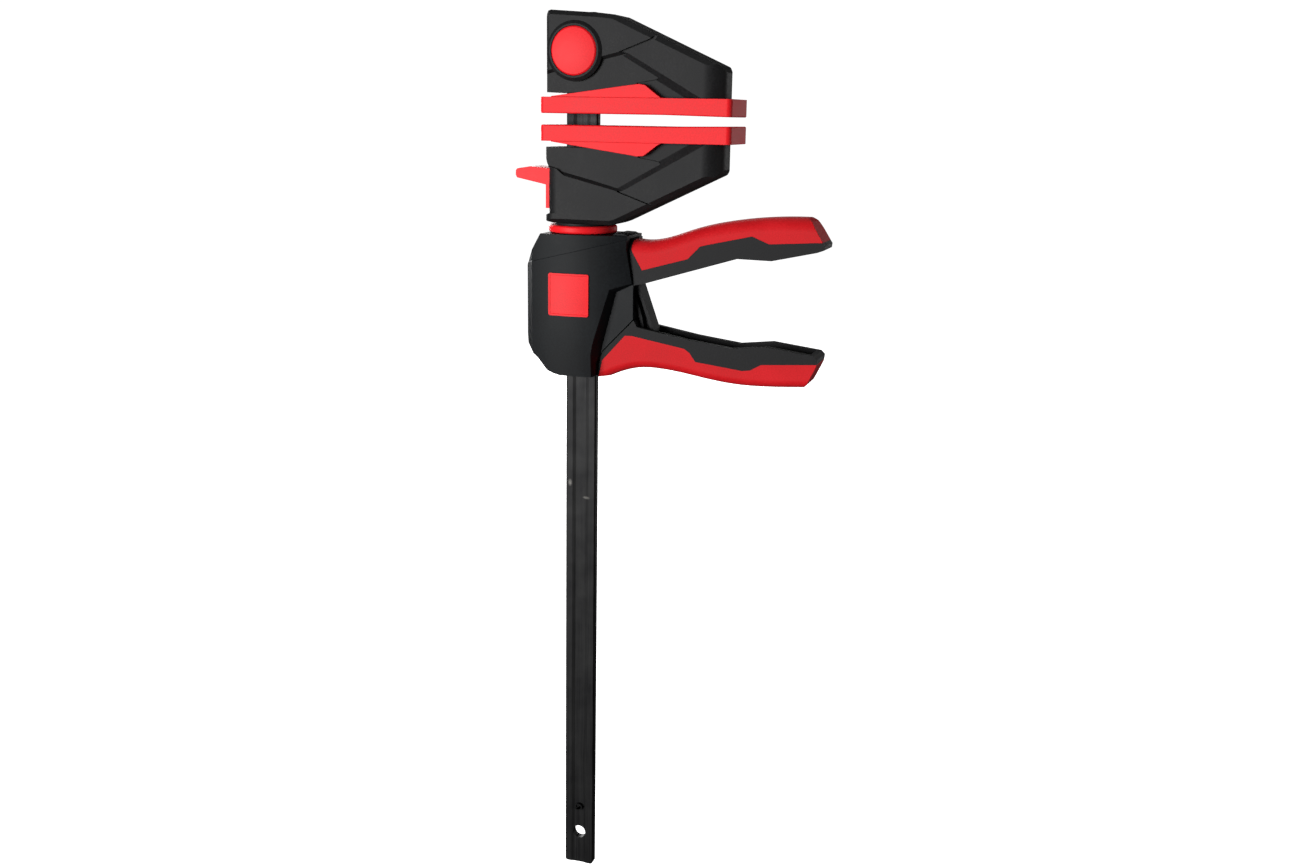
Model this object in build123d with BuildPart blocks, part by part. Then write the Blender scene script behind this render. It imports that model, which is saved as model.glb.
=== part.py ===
from build123d import *
import os
from math import cos, radians, sin, tan

# Quick release bar clamp, upright, in millimetres.
# +Z runs up the rail, +X points from the rail to the tips of the jaws, and the clamp is
# symmetric about Y = 0 but for the release button and the badge, which are on the -Y side.
# The origin is the centre of the hole at the rail's free (lower) end.

os.makedirs("parts", exist_ok=True)

# ---------------------------------------------------------------- driving dimensions

# Rail: a flat profiled steel bar with a hole at each end.
RAIL_LENGTH = 541.0
RAIL_WIDTH = 19.5
RAIL_THICK = 5.5
RAIL_EDGE_RADIUS = 1.0
RAIL_END_RADIUS = 2.0
GROOVE_MOUTH = 10.6
GROOVE_FLOOR = 6.4
GROOVE_DEPTH = 0.5
END_HOLE_INSET = 22.0
END_HOLE_RADIUS = 4.25

# Spring pin that stops the carriage at the free end.
STOP_PIN_HEIGHT = 18.6
STOP_PIN_RADIUS = 2.5
STOP_PIN_WALL = 0.7
STOP_PIN_LENGTH = 8.4
STOP_PIN_SLOT = 1.0

# Clearances.
RAIL_PLAY = 0.2
PLATE_PLAY = 0.3
PIVOT_PLAY = 0.05

# Jaws and their pads. Heights in a jaw are measured from its clamping face, away from it.
BUTTON_HEIGHT = 34.7
REST_GAP = 6.4
PAD_BACK = 20.2
PAD_TIP = 93.8
PAD_WIDTH = 37.4
PAD_THICK = 9.2
PAD_CORNER_RADIUS = 3.0
PAD_EDGE_RADIUS = 0.8
TOE_START = 55.0
TOE_IN = 0.7
WEDGE_WIDTH = 33.0
WEDGE_START = -14.0
WEDGE_RISE = 7.6
WEDGE_CREST_START = 38.5
WEDGE_CREST_END = 42.5
WEDGE_END = 50.0
RAIL_SLOT_PLAY = 0.5
CLIP_LENGTH = 8.0
CLIP_WIDTH = 9.0
CLIP_PLAY = 0.15
CLIPS = ((29.0, 20.5), (66.0, 14.2))

JAW_WIDTH = 31.0
JAW_TIP = 87.6
JAW_TIP_RADIUS = 11.5
JAW_BEVEL = 2.6
FIXED_JAW_BACK = 17.65
FIXED_JAW_BACK_RADIUS = 2.5
FIXED_JAW_HEIGHT = 57.5
MOVING_JAW_BACK = 17.8
MOVING_JAW_BACK_RADIUS = 7.5
MOVING_JAW_LIP = 19.9
MOVING_JAW_HEIGHT = 56.4
RELIEF_DEPTH = 2.2
RELIEF_FALL = 36.0
RELIEF_FOOT_DEPTH = 3.6
RIDGE_FALL = 51.0

# Release button and latch in the fixed jaw.
BOSS_RADIUS = 16.8
BOSS_TOP_RADIUS = 14.9
BOSS_HEIGHT = 1.5
BUTTON_RADIUS = 13.6
BUTTON_WALL = 2.0
BUTTON_PROUD = 1.8
BUTTON_DOME = 0.9
BUTTON_SKIRT = 4.0
BUTTON_PLAY = 0.3
BUTTON_TRAVEL = 4.6
BUTTON_FLOOR = 5.0
PRONG_INNER = 10.4
PRONG_OUTER = 12.8
PRONG_HEIGHT = 8.0
LATCH_RADIUS = 4.05
LATCH_ENGAGED = -1.7
LATCH_BRIDGE_FRONT = 6.0
LATCH_BRIDGE_BACK = 9.0
LATCH_ROOM = 0.4
BUTTON_SPRING_RADIUS = 5.5
BUTTON_SPRING_WIRE = 1.0
BUTTON_SPRING_TURNS = 5.0

# Brake in the moving jaw: two steel plates in the release lever's frame.
BRAKE_PIN_X = 14.5
BRAKE_PIN_HEIGHT = 30.5
BRAKE_PIN_RADIUS = 2.0
BRAKE_PIN_LENGTH = 24.4
BRAKE_TILT = 4.0
BRAKE_PLATE_THICK = 2.2
BRAKE_PLATE_WIDTH = 16.0
BRAKE_PLATE_START = -29.3
BRAKE_PLATE_END = -2.9
BRAKE_PLATE_COUNT = 2
LEVER_ARM_INNER = 8.3
LEVER_ARM_OUTER = 10.3
SKIRT_WIDTH = 18.0
SKIRT_BACK = 20.3
SKIRT_FRONT = 18.1
BRAKE_ROOM_WIDTH = 21.4
BRAKE_ROOM_FRONT = 18.5
BRAKE_ROOM_NEAR = 20.8
BRAKE_ROOM_FAR = 43.0
BRAKE_SPRING_X = -12.7
BRAKE_SPRING_RADIUS = 1.9
BRAKE_SPRING_WIRE = 0.8
BRAKE_SPRING_TURNS = 6.0
BRAKE_SPRING_LENGTH = 11.9

# Swivel between the moving jaw and the handle. Drops are measured down from the jaw's foot.
SHOULDER_RADIUS = 16.5
NECK_RADIUS = 13.0
NECK_FLANGE_RADIUS = 16.5
NECK_FLANGE_TOP = 11.3
NECK_FLANGE_FOOT = 14.5
NECK_FOOT = 18.0
COLLAR_RADIUS = 20.35
COLLAR_INNER_RADIUS = 16.7
COLLAR_TOP = 1.2
COLLAR_FOOT = 5.6
COLLAR_ROUND = 1.4
SWIVEL_PLAY = 0.3
NECK_SCREW_Y = 9.0
NECK_SCREW_SEAT = 15.8
NECK_SCREW_DEPTH = 8.0

# Handle housing.
HOUSING_TOP = 6.0
HOUSING_FOOT = 89.6
HOUSING_BACK = 31.3
HOUSING_BACK_HALF = 11.0
HOUSING_CORNER_X = -25.0
HOUSING_CORNER_HALF = 19.2
HOUSING_MIDDLE_X = -2.0
HOUSING_HALF = 21.9
HOUSING_FRONT = 37.0
HOUSING_FRONT_HALF = 13.2
HOUSING_WALL = 2.3
CHAMBER_TOP = 15.0
CHAMBER_FOOT = HOUSING_FOOT - 7.0
LOWER_FACET_DROP = 66.5
LOWER_FACET_LEAN = 3.0
FACET_STEP = 1.2
CHEEK_BEVEL = 24.0
CHEEK_RIM = 3.4
HANDLE_HALF = 9.6
CHEEK_WALL = 2.2
BADGE_SIZE = 25.0
BADGE_CORNER_RADIUS = 1.2
BADGE_X = -1.0
BADGE_DROP = 41.0
BADGE_PROUD = 0.8
BADGE_SUNK = 0.6
BADGE_PLAY = 0.15
BADGE_BED_GAP = 0.05

# Pump lever, its pivot, and the drive inside the housing.
PIVOT_X = -20.0
PIVOT_DROP = 68.5
PIVOT_RADIUS = 2.5
PIVOT_PIN_LENGTH = 35.0
FORK_INNER = 12.3
FORK_OUTER = 13.9
NECK_HALF = 8.5
NOSE_X = 4.0
NOSE_DROP = 57.5
NOSE_RADIUS = 3.0
NOSE_INNER = 9.9
WEB_HALF = 6.2
WEB_INNER_RADIUS = 59.8
GRIP_SKIN = 2.4
CHANNEL_HALF = 7.9
SKIN_GAP = 0.15
BELLY_RADIUS = 5.0
WEB_FOOT = 62.5
CROWN_RADIUS = 8.5

CARRIER_FLANGE_RADIUS = 12.0
CARRIER_FLANGE_TOP = 60.8
CARRIER_FLANGE_FOOT = 63.3
RIDGE_X = 10.2
RIDGE_LENGTH = 2.4
RIDGE_WIDTH = 12.0
RIDGE_DEPTH = 1.4
DRIVE_TILT = 4.0
DRIVE_PLATE_THICK = 2.0
DRIVE_PLATE_LENGTH = 24.0
DRIVE_PLATE_WIDTH = 15.0
DRIVE_PLATE_COUNT = 2
DRIVE_PLATE_GAP = 0.05
DRIVE_PLATE_DROP = 66.2
SEAT_RADIUS = 11.6
SEAT_INNER_RADIUS = 10.25
SEAT_TOP = 69.2
SEAT_THICK = 1.0
RETURN_SPRING_RADIUS = 10.9
RETURN_SPRING_WIRE = 1.2
RETURN_SPRING_PITCH = 3.25
BUSH_FLANGE_RADIUS = 12.2
BUSH_RADIUS = 11.0
BUSH_TOP = CHAMBER_FOOT + 0.4
BUSH_FLANGE_FOOT = BUSH_TOP + 2.8

# Housing screws, driven from the +Y side: (x, drop) of each.
SCREW_PLACES = ((-22.5, 20.5), (-25.8, 48.5), (-16.2, HOUSING_FOOT - 10.6), (27.0, 59.5))
SCREW_RADIUS = 1.5
SCREW_HEAD_RADIUS = 2.7
SCREW_HEAD_THICK = 2.0
SCREW_SEAT = 14.0
SCREW_FRONT_SEAT = 8.0
SCREW_TIP = -7.0
SCREW_BOSS_RADIUS = 4.0
SCREW_HOLE_PLAY = 0.1

# ---------------------------------------------------------------- places along the rail

LATCH_Z = RAIL_LENGTH - 2 * END_HOLE_INSET
FIXED_FACE_Z = LATCH_Z - BUTTON_HEIGHT
MOVING_FACE_Z = FIXED_FACE_Z - REST_GAP
SWIVEL_Z = MOVING_FACE_Z - MOVING_JAW_HEIGHT

FIXED = (FIXED_FACE_Z, 1)
MOVING = (MOVING_FACE_Z, -1)
JAW_HALF = JAW_WIDTH / 2


def jaw_points(jaw, points):
    """(x, height from the clamping face) of a jaw as (x, z)."""
    face_z, away = jaw
    return [(x, face_z + away * height) for x, height in points]


def handle_points(points):
    """(x, drop below the jaw's foot) as (x, z)."""
    return [(x, SWIVEL_Z - drop) for x, drop in points]


def prism(points, half_width):
    """Solid of an XZ outline, symmetric about Y = 0."""
    with BuildPart(mode=Mode.PRIVATE) as body:
        with BuildSketch(Plane.XZ):
            with BuildLine():
                Polyline(*points, close=True)
            make_face()
        extrude(amount=half_width, both=True)
    return body.part


def side_prisms(points, inner, outer):
    """Solids of an XZ outline on both sides, between two distances from Y = 0."""
    with BuildPart(mode=Mode.PRIVATE) as body:
        with BuildSketch(Plane.XZ.offset(inner)):
            with BuildLine():
                Polyline(*points, close=True)
            make_face()
        extrude(amount=outer - inner)
        mirror(about=Plane.XZ)
    return body.part


def cross_cylinder(x, z, radius, y_start, y_end):
    """Round bar along Y."""
    with BuildPart(mode=Mode.PRIVATE) as body:
        with BuildSketch(Plane.XZ.offset(-y_end)):
            with Locations((x, z)):
                Circle(radius)
        extrude(amount=y_end - y_start)
    return body.part


def upright_ring(radius, bore, top_z, foot_z):
    """Round plate about the rail's axis; a bore of None leaves it solid."""
    with BuildPart(mode=Mode.PRIVATE) as body:
        with BuildSketch(Plane.XY.offset(foot_z)):
            Circle(radius)
            if bore is not None:
                Circle(bore, mode=Mode.SUBTRACT)
        extrude(amount=top_z - foot_z)
    return body.part


def rail_passage(top_z, foot_z, play):
    """The space that a guide leaves round the rail."""
    with BuildPart(mode=Mode.PRIVATE) as passage:
        with BuildSketch(Plane.XY.offset(foot_z)):
            Rectangle(RAIL_WIDTH + 2 * play, RAIL_THICK + 2 * play)
        extrude(amount=top_z - foot_z)
    return passage.part


def coil(radius, wire, length, turns, foot):
    """Open helical spring standing on a plane."""
    with BuildPart(mode=Mode.PRIVATE) as spring:
        with BuildLine():
            path = Helix(
                pitch=(length - wire) / turns,
                height=length - wire,
                radius=radius,
                center=foot.origin + foot.z_dir * (wire / 2),
                direction=foot.z_dir,
            )
        with BuildSketch(Plane(origin=path @ 0, z_dir=path % 0)):
            Circle(wire / 2)
        sweep(is_frenet=True)
    return spring.part


# ---------------------------------------------------------------- rail and stop pin

with BuildPart() as rail:
    with BuildSketch(Plane.XY.offset(-END_HOLE_INSET)):
        RectangleRounded(RAIL_WIDTH, RAIL_THICK, RAIL_EDGE_RADIUS)
        for side in (1, -1):
            face_y = side * RAIL_THICK / 2
            floor_y = side * (RAIL_THICK / 2 - GROOVE_DEPTH)
            with BuildLine():
                Polyline(
                    (-GROOVE_MOUTH / 2, face_y),
                    (-GROOVE_FLOOR / 2, floor_y),
                    (GROOVE_FLOOR / 2, floor_y),
                    (GROOVE_MOUTH / 2, face_y),
                    close=True,
                )
            make_face(mode=Mode.SUBTRACT)
    extrude(amount=RAIL_LENGTH)
    with BuildSketch(Plane.XZ):
        with Locations((0, RAIL_LENGTH / 2 - END_HOLE_INSET)):
            RectangleRounded(RAIL_WIDTH, RAIL_LENGTH, RAIL_END_RADIUS)
        for hole_z in (0, LATCH_Z):
            with Locations((0, hole_z)):
                Circle(END_HOLE_RADIUS, mode=Mode.SUBTRACT)
        with Locations((0, STOP_PIN_HEIGHT)):
            Circle(STOP_PIN_RADIUS, mode=Mode.SUBTRACT)
    extrude(amount=RAIL_THICK, both=True, mode=Mode.INTERSECT)
rail.part.label = "rail"
export_step(rail.part, "parts/rail.step")

with BuildPart() as stop_pin:
    with BuildSketch(Plane.XZ):
        with Locations((0, STOP_PIN_HEIGHT)):
            Circle(STOP_PIN_RADIUS)
            Circle(STOP_PIN_RADIUS - STOP_PIN_WALL, mode=Mode.SUBTRACT)
        with Locations((0, STOP_PIN_HEIGHT - STOP_PIN_RADIUS)):
            Rectangle(STOP_PIN_SLOT, 2 * STOP_PIN_RADIUS, mode=Mode.SUBTRACT)
    extrude(amount=STOP_PIN_LENGTH / 2, both=True)
stop_pin.part.label = "stop_pin"
export_step(stop_pin.part, "parts/stop_pin.step")

# ---------------------------------------------------------------- pads

PAD_PLATE = [
    (-PAD_BACK, 0),
    (TOE_START, 0),
    (PAD_TIP, -TOE_IN),
    (PAD_TIP, PAD_THICK),
    (-PAD_BACK, PAD_THICK),
]
PAD_WEDGE = [
    (WEDGE_START, PAD_THICK - 1),
    (WEDGE_START, PAD_THICK + 0.4),
    (WEDGE_CREST_START, PAD_THICK + WEDGE_RISE),
    (WEDGE_CREST_END, PAD_THICK + WEDGE_RISE - 0.4),
    (WEDGE_END, PAD_THICK + 1.6),
    (WEDGE_END + 2.5, PAD_THICK),
    (WEDGE_END + 2.5, PAD_THICK - 1),
]


def pad(jaw):
    """Clamping plate with toed-in tip, wedge back and two clips, slotted for the rail."""
    face_z, away = jaw
    with BuildPart(mode=Mode.PRIVATE) as body:
        add(prism(jaw_points(jaw, PAD_PLATE), PAD_WIDTH / 2))
        fillet(body.edges().filter_by(Axis.Z), PAD_CORNER_RADIUS)
        rim = [edge for edge in body.edges() if abs(edge.center().Z - face_z) < 0.8]
        fillet([edge for edge in rim if abs(edge.center().Y) > 1], PAD_EDGE_RADIUS)
        add(prism(jaw_points(jaw, PAD_WEDGE), WEDGE_WIDTH / 2))
        for clip_x, clip_top in CLIPS:
            with Locations((clip_x, 0, face_z + away * (clip_top / 2 + 1))):
                Box(CLIP_LENGTH, CLIP_WIDTH, clip_top - 2)
        add(
            rail_passage(face_z + 30, face_z - 30, RAIL_SLOT_PLAY),
            mode=Mode.SUBTRACT,
        )
    return body.part


with BuildPart() as fixed_pad:
    add(pad(FIXED))
fixed_pad.part.label = "fixed_pad"
export_step(fixed_pad.part, "parts/fixed_pad.step")

with BuildPart() as moving_pad:
    add(pad(MOVING))
moving_pad.part.label = "moving_pad"
export_step(moving_pad.part, "parts/moving_pad.step")

# ---------------------------------------------------------------- jaws

WEDGE_SEAT = [
    (WEDGE_END + 2.8, PAD_THICK),
    (WEDGE_END + 0.1, PAD_THICK + 1.8),
    (WEDGE_CREST_END + 0.1, PAD_THICK + WEDGE_RISE - 0.2),
    (WEDGE_CREST_START, PAD_THICK + WEDGE_RISE + 0.2),
]


def jaw_column(back, back_radius):
    """Upright column of a jaw's plan."""
    with BuildPart(mode=Mode.PRIVATE) as column:
        with BuildSketch(Plane.XY.offset(MOVING_FACE_Z - 70)) as plan:
            with Locations(((JAW_TIP - back) / 2, 0)):
                Rectangle(JAW_TIP + back, JAW_WIDTH)
            fillet(plan.vertices().group_by(Axis.X)[0], back_radius)
            fillet(plan.vertices().group_by(Axis.X)[-1], JAW_TIP_RADIUS)
        extrude(amount=150)
    return column.part


def bevel_plane(line, y_side, depth):
    """Plane at 45 degrees that takes the corner off an outer face at its side edge."""
    (x1, z1), (x2, z2) = line
    along = Vector(x2 - x1, 0, z2 - z1).normalized()
    outward = Vector(-along.Z, 0, along.X)
    edge = Vector(x1, y_side * JAW_HALF, z1) - outward * depth
    return Plane(origin=edge, x_dir=along, z_dir=outward + Vector(0, y_side, 0))


def jaw_blank(jaw, outline, outer, back, back_radius):
    """Jaw outline cut from its column and bevelled along its outer faces."""
    away = jaw[1]
    with BuildPart(mode=Mode.PRIVATE) as body:
        add(prism(jaw_points(jaw, outline), JAW_WIDTH))
        add(jaw_column(back, back_radius), mode=Mode.INTERSECT)
        for start, end in zip(outer, outer[1:]):
            line = jaw_points(jaw, (start, end) if away > 0 else (end, start))
            for y_side in (1, -1):
                split(bisect_by=bevel_plane(line, y_side, JAW_BEVEL), keep=Keep.BOTTOM)
        for clip_x, clip_top in CLIPS:
            with Locations((clip_x, 0, jaw[0] + away * clip_top / 2)):
                Box(
                    CLIP_LENGTH + 2 * CLIP_PLAY,
                    CLIP_WIDTH + 2 * CLIP_PLAY,
                    clip_top + 0.6,
                    mode=Mode.SUBTRACT,
                )
        add(rail_passage(jaw[0] + 80, jaw[0] - 80, RAIL_PLAY), mode=Mode.SUBTRACT)
    return body.part


FIXED_JAW_OUTER = [
    (-FIXED_JAW_BACK, FIXED_JAW_HEIGHT - 2.3),
    (-FIXED_JAW_BACK + 0.7, FIXED_JAW_HEIGHT - 0.7),
    (-FIXED_JAW_BACK + 2.3, FIXED_JAW_HEIGHT - 0.1),
    (14.5, FIXED_JAW_HEIGHT - 2.0),
    (23.3, FIXED_JAW_HEIGHT - 3.0),
    (JAW_TIP - 2.5, 26.8),
    (JAW_TIP, 23.6),
]
FIXED_JAW_OUTLINE = (
    WEDGE_SEAT
    + [(0.0, PAD_THICK + 2.5), (-FIXED_JAW_BACK, PAD_THICK + 2.5)]
    + FIXED_JAW_OUTER
    + [(JAW_TIP, PAD_THICK)]
)
# The sunk triangle low on the jaw's sides: its slope falls from a line in the raised front
# face, and a steeper slope falls into it from the raised face round the button.
FIXED_SLOPE_LINE = ((32.0, 33.6), (74.0, 10.1))
FIXED_RIDGE_LINE = ((-15.1, 24.3), (27.7, 34.4))
FIXED_HOLLOW = [
    (-20.0, 8.0),
    (-20.0, 20.7),
    (27.8, 32.0),
    (32.0, 33.6),
    (77.7, 8.0),
]
FIXED_HOLLOW_FOOT = [(36.5, 17.4), (48.5, 19.4), (52.0, 22.4), (77.7, 8.0), (40.0, 8.0)]
FIXED_RIDGE = [(-20.0, 20.5), (-20.0, 23.1), (27.7, 34.4), (32.0, 33.6), (27.8, 31.8)]
FIXED_GROOVE = [(26.5, 34.3), (45.1, 41.4), (47.0, 43.2), (48.6, 43.0), (48.1, 41.0), (31.0, 33.5)]


def relief_slope(jaw, line, points, depth, fall):
    """Cut in both sides of a jaw that falls from a line in the face, down to a depth."""
    away = jaw[1]
    (x1, z1), (x2, z2) = jaw_points(jaw, line)
    along = Vector(x2 - x1, 0, z2 - z1).normalized()
    down = Vector(along.Z, 0, -along.X) * away
    normal = down * sin(radians(fall)) + Vector(0, -cos(radians(fall)), 0)
    with BuildPart(mode=Mode.PRIVATE) as cut:
        with BuildSketch(Plane.XZ.offset(JAW_HALF - depth)):
            with BuildLine():
                Polyline(*jaw_points(jaw, points), close=True)
            make_face()
        extrude(amount=JAW_HALF)
        split(bisect_by=Plane(origin=(x1, -JAW_HALF, z1), x_dir=along, z_dir=normal))
        mirror(about=Plane.XZ)
    return cut.part


fixed_blank = jaw_blank(
    FIXED, FIXED_JAW_OUTLINE, FIXED_JAW_OUTER, FIXED_JAW_BACK, FIXED_JAW_BACK_RADIUS
)
PRONG_X = (PRONG_INNER + PRONG_OUTER) / 2
PRONG_THICK = PRONG_OUTER - PRONG_INNER

with BuildPart() as fixed_jaw:
    add(fixed_blank)
    for line, points, depth, fall in (
        (FIXED_SLOPE_LINE, FIXED_HOLLOW, RELIEF_DEPTH, RELIEF_FALL),
        (FIXED_SLOPE_LINE, FIXED_HOLLOW_FOOT, RELIEF_FOOT_DEPTH, RELIEF_FALL),
        (FIXED_RIDGE_LINE, FIXED_RIDGE, RELIEF_DEPTH, RIDGE_FALL),
    ):
        add(relief_slope(FIXED, line, points, depth, fall), mode=Mode.SUBTRACT)
    add(
        side_prisms(jaw_points(FIXED, FIXED_GROOVE), JAW_HALF - RELIEF_DEPTH, JAW_WIDTH),
        mode=Mode.SUBTRACT,
    )
    with BuildSketch(Plane.XZ.offset(JAW_HALF - BUTTON_FLOOR / 2)):
        with Locations((0, LATCH_Z)):
            Circle(BOSS_RADIUS)
    extrude(amount=BUTTON_FLOOR / 2)
    boss_y = -JAW_HALF - BOSS_HEIGHT / 2
    with Locations(Location((0, boss_y, LATCH_Z), (90, 0, 0))):
        Cone(BOSS_RADIUS, BOSS_TOP_RADIUS, BOSS_HEIGHT)
    add(
        cross_cylinder(0, LATCH_Z, BUTTON_RADIUS + BUTTON_PLAY, -JAW_WIDTH, -BUTTON_FLOOR),
        mode=Mode.SUBTRACT,
    )
    for side in (1, -1):
        with Locations((side * (PRONG_X - BUTTON_PLAY / 2), 0, LATCH_Z)):
            Box(
                PRONG_THICK + 3 * BUTTON_PLAY,
                2 * (LATCH_BRIDGE_FRONT + 1),
                PRONG_HEIGHT + 2 * BUTTON_PLAY,
                mode=Mode.SUBTRACT,
            )
    room_start = LATCH_BRIDGE_FRONT - LATCH_ROOM
    with Locations((0, room_start + JAW_WIDTH / 2, LATCH_Z)):
        Box(
            2 * (PRONG_OUTER + LATCH_ROOM),
            JAW_WIDTH,
            PRONG_HEIGHT + 2 * LATCH_ROOM,
            mode=Mode.SUBTRACT,
        )
    add(
        cross_cylinder(0, LATCH_Z, LATCH_RADIUS + BUTTON_PLAY, 0, LATCH_BRIDGE_FRONT),
        mode=Mode.SUBTRACT,
    )
fixed_jaw.part.label = "fixed_jaw"
export_step(fixed_jaw.part, "parts/fixed_jaw.step")

MOVING_JAW_OUTER = [
    (-13.5, MOVING_JAW_HEIGHT),
    (22.5, MOVING_JAW_HEIGHT),
    (26.5, MOVING_JAW_HEIGHT - 1.4),
    (JAW_TIP - 2.5, 26.6),
    (JAW_TIP, 23.5),
]
MOVING_JAW_OUTLINE = (
    WEDGE_SEAT
    + [(8.6, PAD_THICK + 3.7), (-MOVING_JAW_LIP, PAD_THICK + 3.5), (-MOVING_JAW_LIP, 55.0)]
    + MOVING_JAW_OUTER
    + [(JAW_TIP, PAD_THICK)]
)
MOVING_SLOPE_LINE = ((29.5, 36.6), (77.2, 10.2))
MOVING_RIDGE_LINE = ((-6.2, 28.9), (26.9, 36.9))
MOVING_HOLLOW = [
    (-21.0, 8.0),
    (-21.0, 22.3),
    (26.0, 35.3),
    (29.5, 36.6),
    (81.2, 8.0),
]
MOVING_HOLLOW_FOOT = [(38.0, 17.5), (50.7, 19.7), (53.5, 23.3), (81.2, 8.0), (40.0, 8.0)]
MOVING_RIDGE = [(-11.6, 24.7), (-6.2, 28.9), (26.9, 36.9), (29.5, 36.6), (26.0, 35.1)]
MOVING_GROOVE = [(26.3, 36.3), (46.6, 43.3), (46.6, 44.2), (26.3, 37.2)]
MOVING_BACK = [
    (-22.0, 17.2),
    (-19.9, 17.2),
    (-16.4, 24.4),
    (-9.0, 24.4),
    (-9.0, 50.6),
    (-16.4, 50.9),
    (-19.9, 52.4),
    (-22.0, 52.4),
]

moving_blank = jaw_blank(
    MOVING, MOVING_JAW_OUTLINE, MOVING_JAW_OUTER, MOVING_JAW_LIP, MOVING_JAW_BACK_RADIUS
)
back_cut = prism(jaw_points(MOVING, MOVING_BACK), JAW_WIDTH) - jaw_column(
    MOVING_JAW_BACK, MOVING_JAW_BACK_RADIUS
)
BRAKE_PIN_Z = MOVING_FACE_Z - BRAKE_PIN_HEIGHT

with BuildPart() as moving_jaw:
    add(moving_blank)
    add(back_cut, mode=Mode.SUBTRACT)
    for line, points, depth, fall in (
        (MOVING_SLOPE_LINE, MOVING_HOLLOW, RELIEF_DEPTH, RELIEF_FALL),
        (MOVING_SLOPE_LINE, MOVING_HOLLOW_FOOT, RELIEF_FOOT_DEPTH, RELIEF_FALL),
        (MOVING_RIDGE_LINE, MOVING_RIDGE, RELIEF_DEPTH, RIDGE_FALL),
    ):
        add(relief_slope(MOVING, line, points, depth, fall), mode=Mode.SUBTRACT)
    add(
        side_prisms(jaw_points(MOVING, MOVING_GROOVE), JAW_HALF - RELIEF_DEPTH, JAW_WIDTH),
        mode=Mode.SUBTRACT,
    )
    room = [
        (-30.0, BRAKE_ROOM_NEAR),
        (BRAKE_ROOM_FRONT, BRAKE_ROOM_NEAR),
        (BRAKE_ROOM_FRONT, BRAKE_ROOM_FAR),
        (-30.0, BRAKE_ROOM_FAR),
    ]
    add(prism(jaw_points(MOVING, room), BRAKE_ROOM_WIDTH / 2), mode=Mode.SUBTRACT)
    skirt_room = [(-30.0, 42.0), (-15.3, 42.0), (-15.3, 51.3), (-30.0, 51.3)]
    add(prism(jaw_points(MOVING, skirt_room), SKIRT_WIDTH / 2 + 0.6), mode=Mode.SUBTRACT)
    pin_start = -BRAKE_PIN_LENGTH / 2 - 0.1
    add(
        cross_cylinder(
            BRAKE_PIN_X, BRAKE_PIN_Z, BRAKE_PIN_RADIUS + PIVOT_PLAY, pin_start, JAW_WIDTH
        ),
        mode=Mode.SUBTRACT,
    )
    with Locations(Plane.XY.offset(SWIVEL_Z)):
        with Locations((0, NECK_SCREW_Y), (0, -NECK_SCREW_Y)):
            Hole(SCREW_RADIUS + SCREW_HOLE_PLAY, depth=NECK_SCREW_DEPTH + 0.3)
moving_jaw.part.label = "moving_jaw"
export_step(moving_jaw.part, "parts/moving_jaw.step")

# ---------------------------------------------------------------- release button and latch

with BuildPart() as release_button:
    rim_y = -JAW_HALF - BUTTON_PROUD
    skirt_y = rim_y + BUTTON_SKIRT
    with BuildSketch(Plane.XY.offset(LATCH_Z)):
        with BuildLine():
            Line((0, rim_y + BUTTON_WALL), (0, rim_y - BUTTON_DOME))
            ThreePointArc(
                (0, rim_y - BUTTON_DOME),
                (BUTTON_RADIUS / 2, rim_y - 0.76 * BUTTON_DOME),
                (BUTTON_RADIUS - 0.8, rim_y),
            )
            Polyline(
                (BUTTON_RADIUS - 0.8, rim_y),
                (BUTTON_RADIUS, rim_y + 0.7),
                (BUTTON_RADIUS, skirt_y),
                (BUTTON_RADIUS - BUTTON_WALL, skirt_y),
                (BUTTON_RADIUS - BUTTON_WALL, rim_y + BUTTON_WALL),
                (0, rim_y + BUTTON_WALL),
            )
        make_face()
    revolve(axis=Axis((0, 0, LATCH_Z), (0, 1, 0)))
    prong_length = LATCH_BRIDGE_FRONT - rim_y - 1
    for side in (1, -1):
        with Locations((side * PRONG_X, LATCH_BRIDGE_FRONT - prong_length / 2, LATCH_Z)):
            Box(PRONG_THICK, prong_length, PRONG_HEIGHT)
release_button.part.label = "release_button"
export_step(release_button.part, "parts/release_button.step")

with BuildPart() as latch_bolt:
    with Locations((0, (LATCH_BRIDGE_FRONT + LATCH_BRIDGE_BACK) / 2, LATCH_Z)):
        Box(2 * PRONG_OUTER, LATCH_BRIDGE_BACK - LATCH_BRIDGE_FRONT, PRONG_HEIGHT)
    add(cross_cylinder(0, LATCH_Z, LATCH_RADIUS, LATCH_ENGAGED, LATCH_BRIDGE_BACK))
    chamfer(latch_bolt.edges().group_by(Axis.Y)[0], 0.5)
latch_bolt.part.label = "latch_bolt"
export_step(latch_bolt.part, "parts/latch_bolt.step")

with BuildPart() as button_spring:
    room_under_button = -BUTTON_FLOOR - (rim_y + BUTTON_WALL) - BUTTON_TRAVEL
    add(
        coil(
            BUTTON_SPRING_RADIUS,
            BUTTON_SPRING_WIRE,
            room_under_button - 0.1,
            BUTTON_SPRING_TURNS,
            Plane(origin=(0, -BUTTON_FLOOR, LATCH_Z), z_dir=(0, -1, 0)),
        )
    )
button_spring.part.label = "button_spring"
export_step(button_spring.part, "parts/button_spring.step")

# ---------------------------------------------------------------- brake

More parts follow.
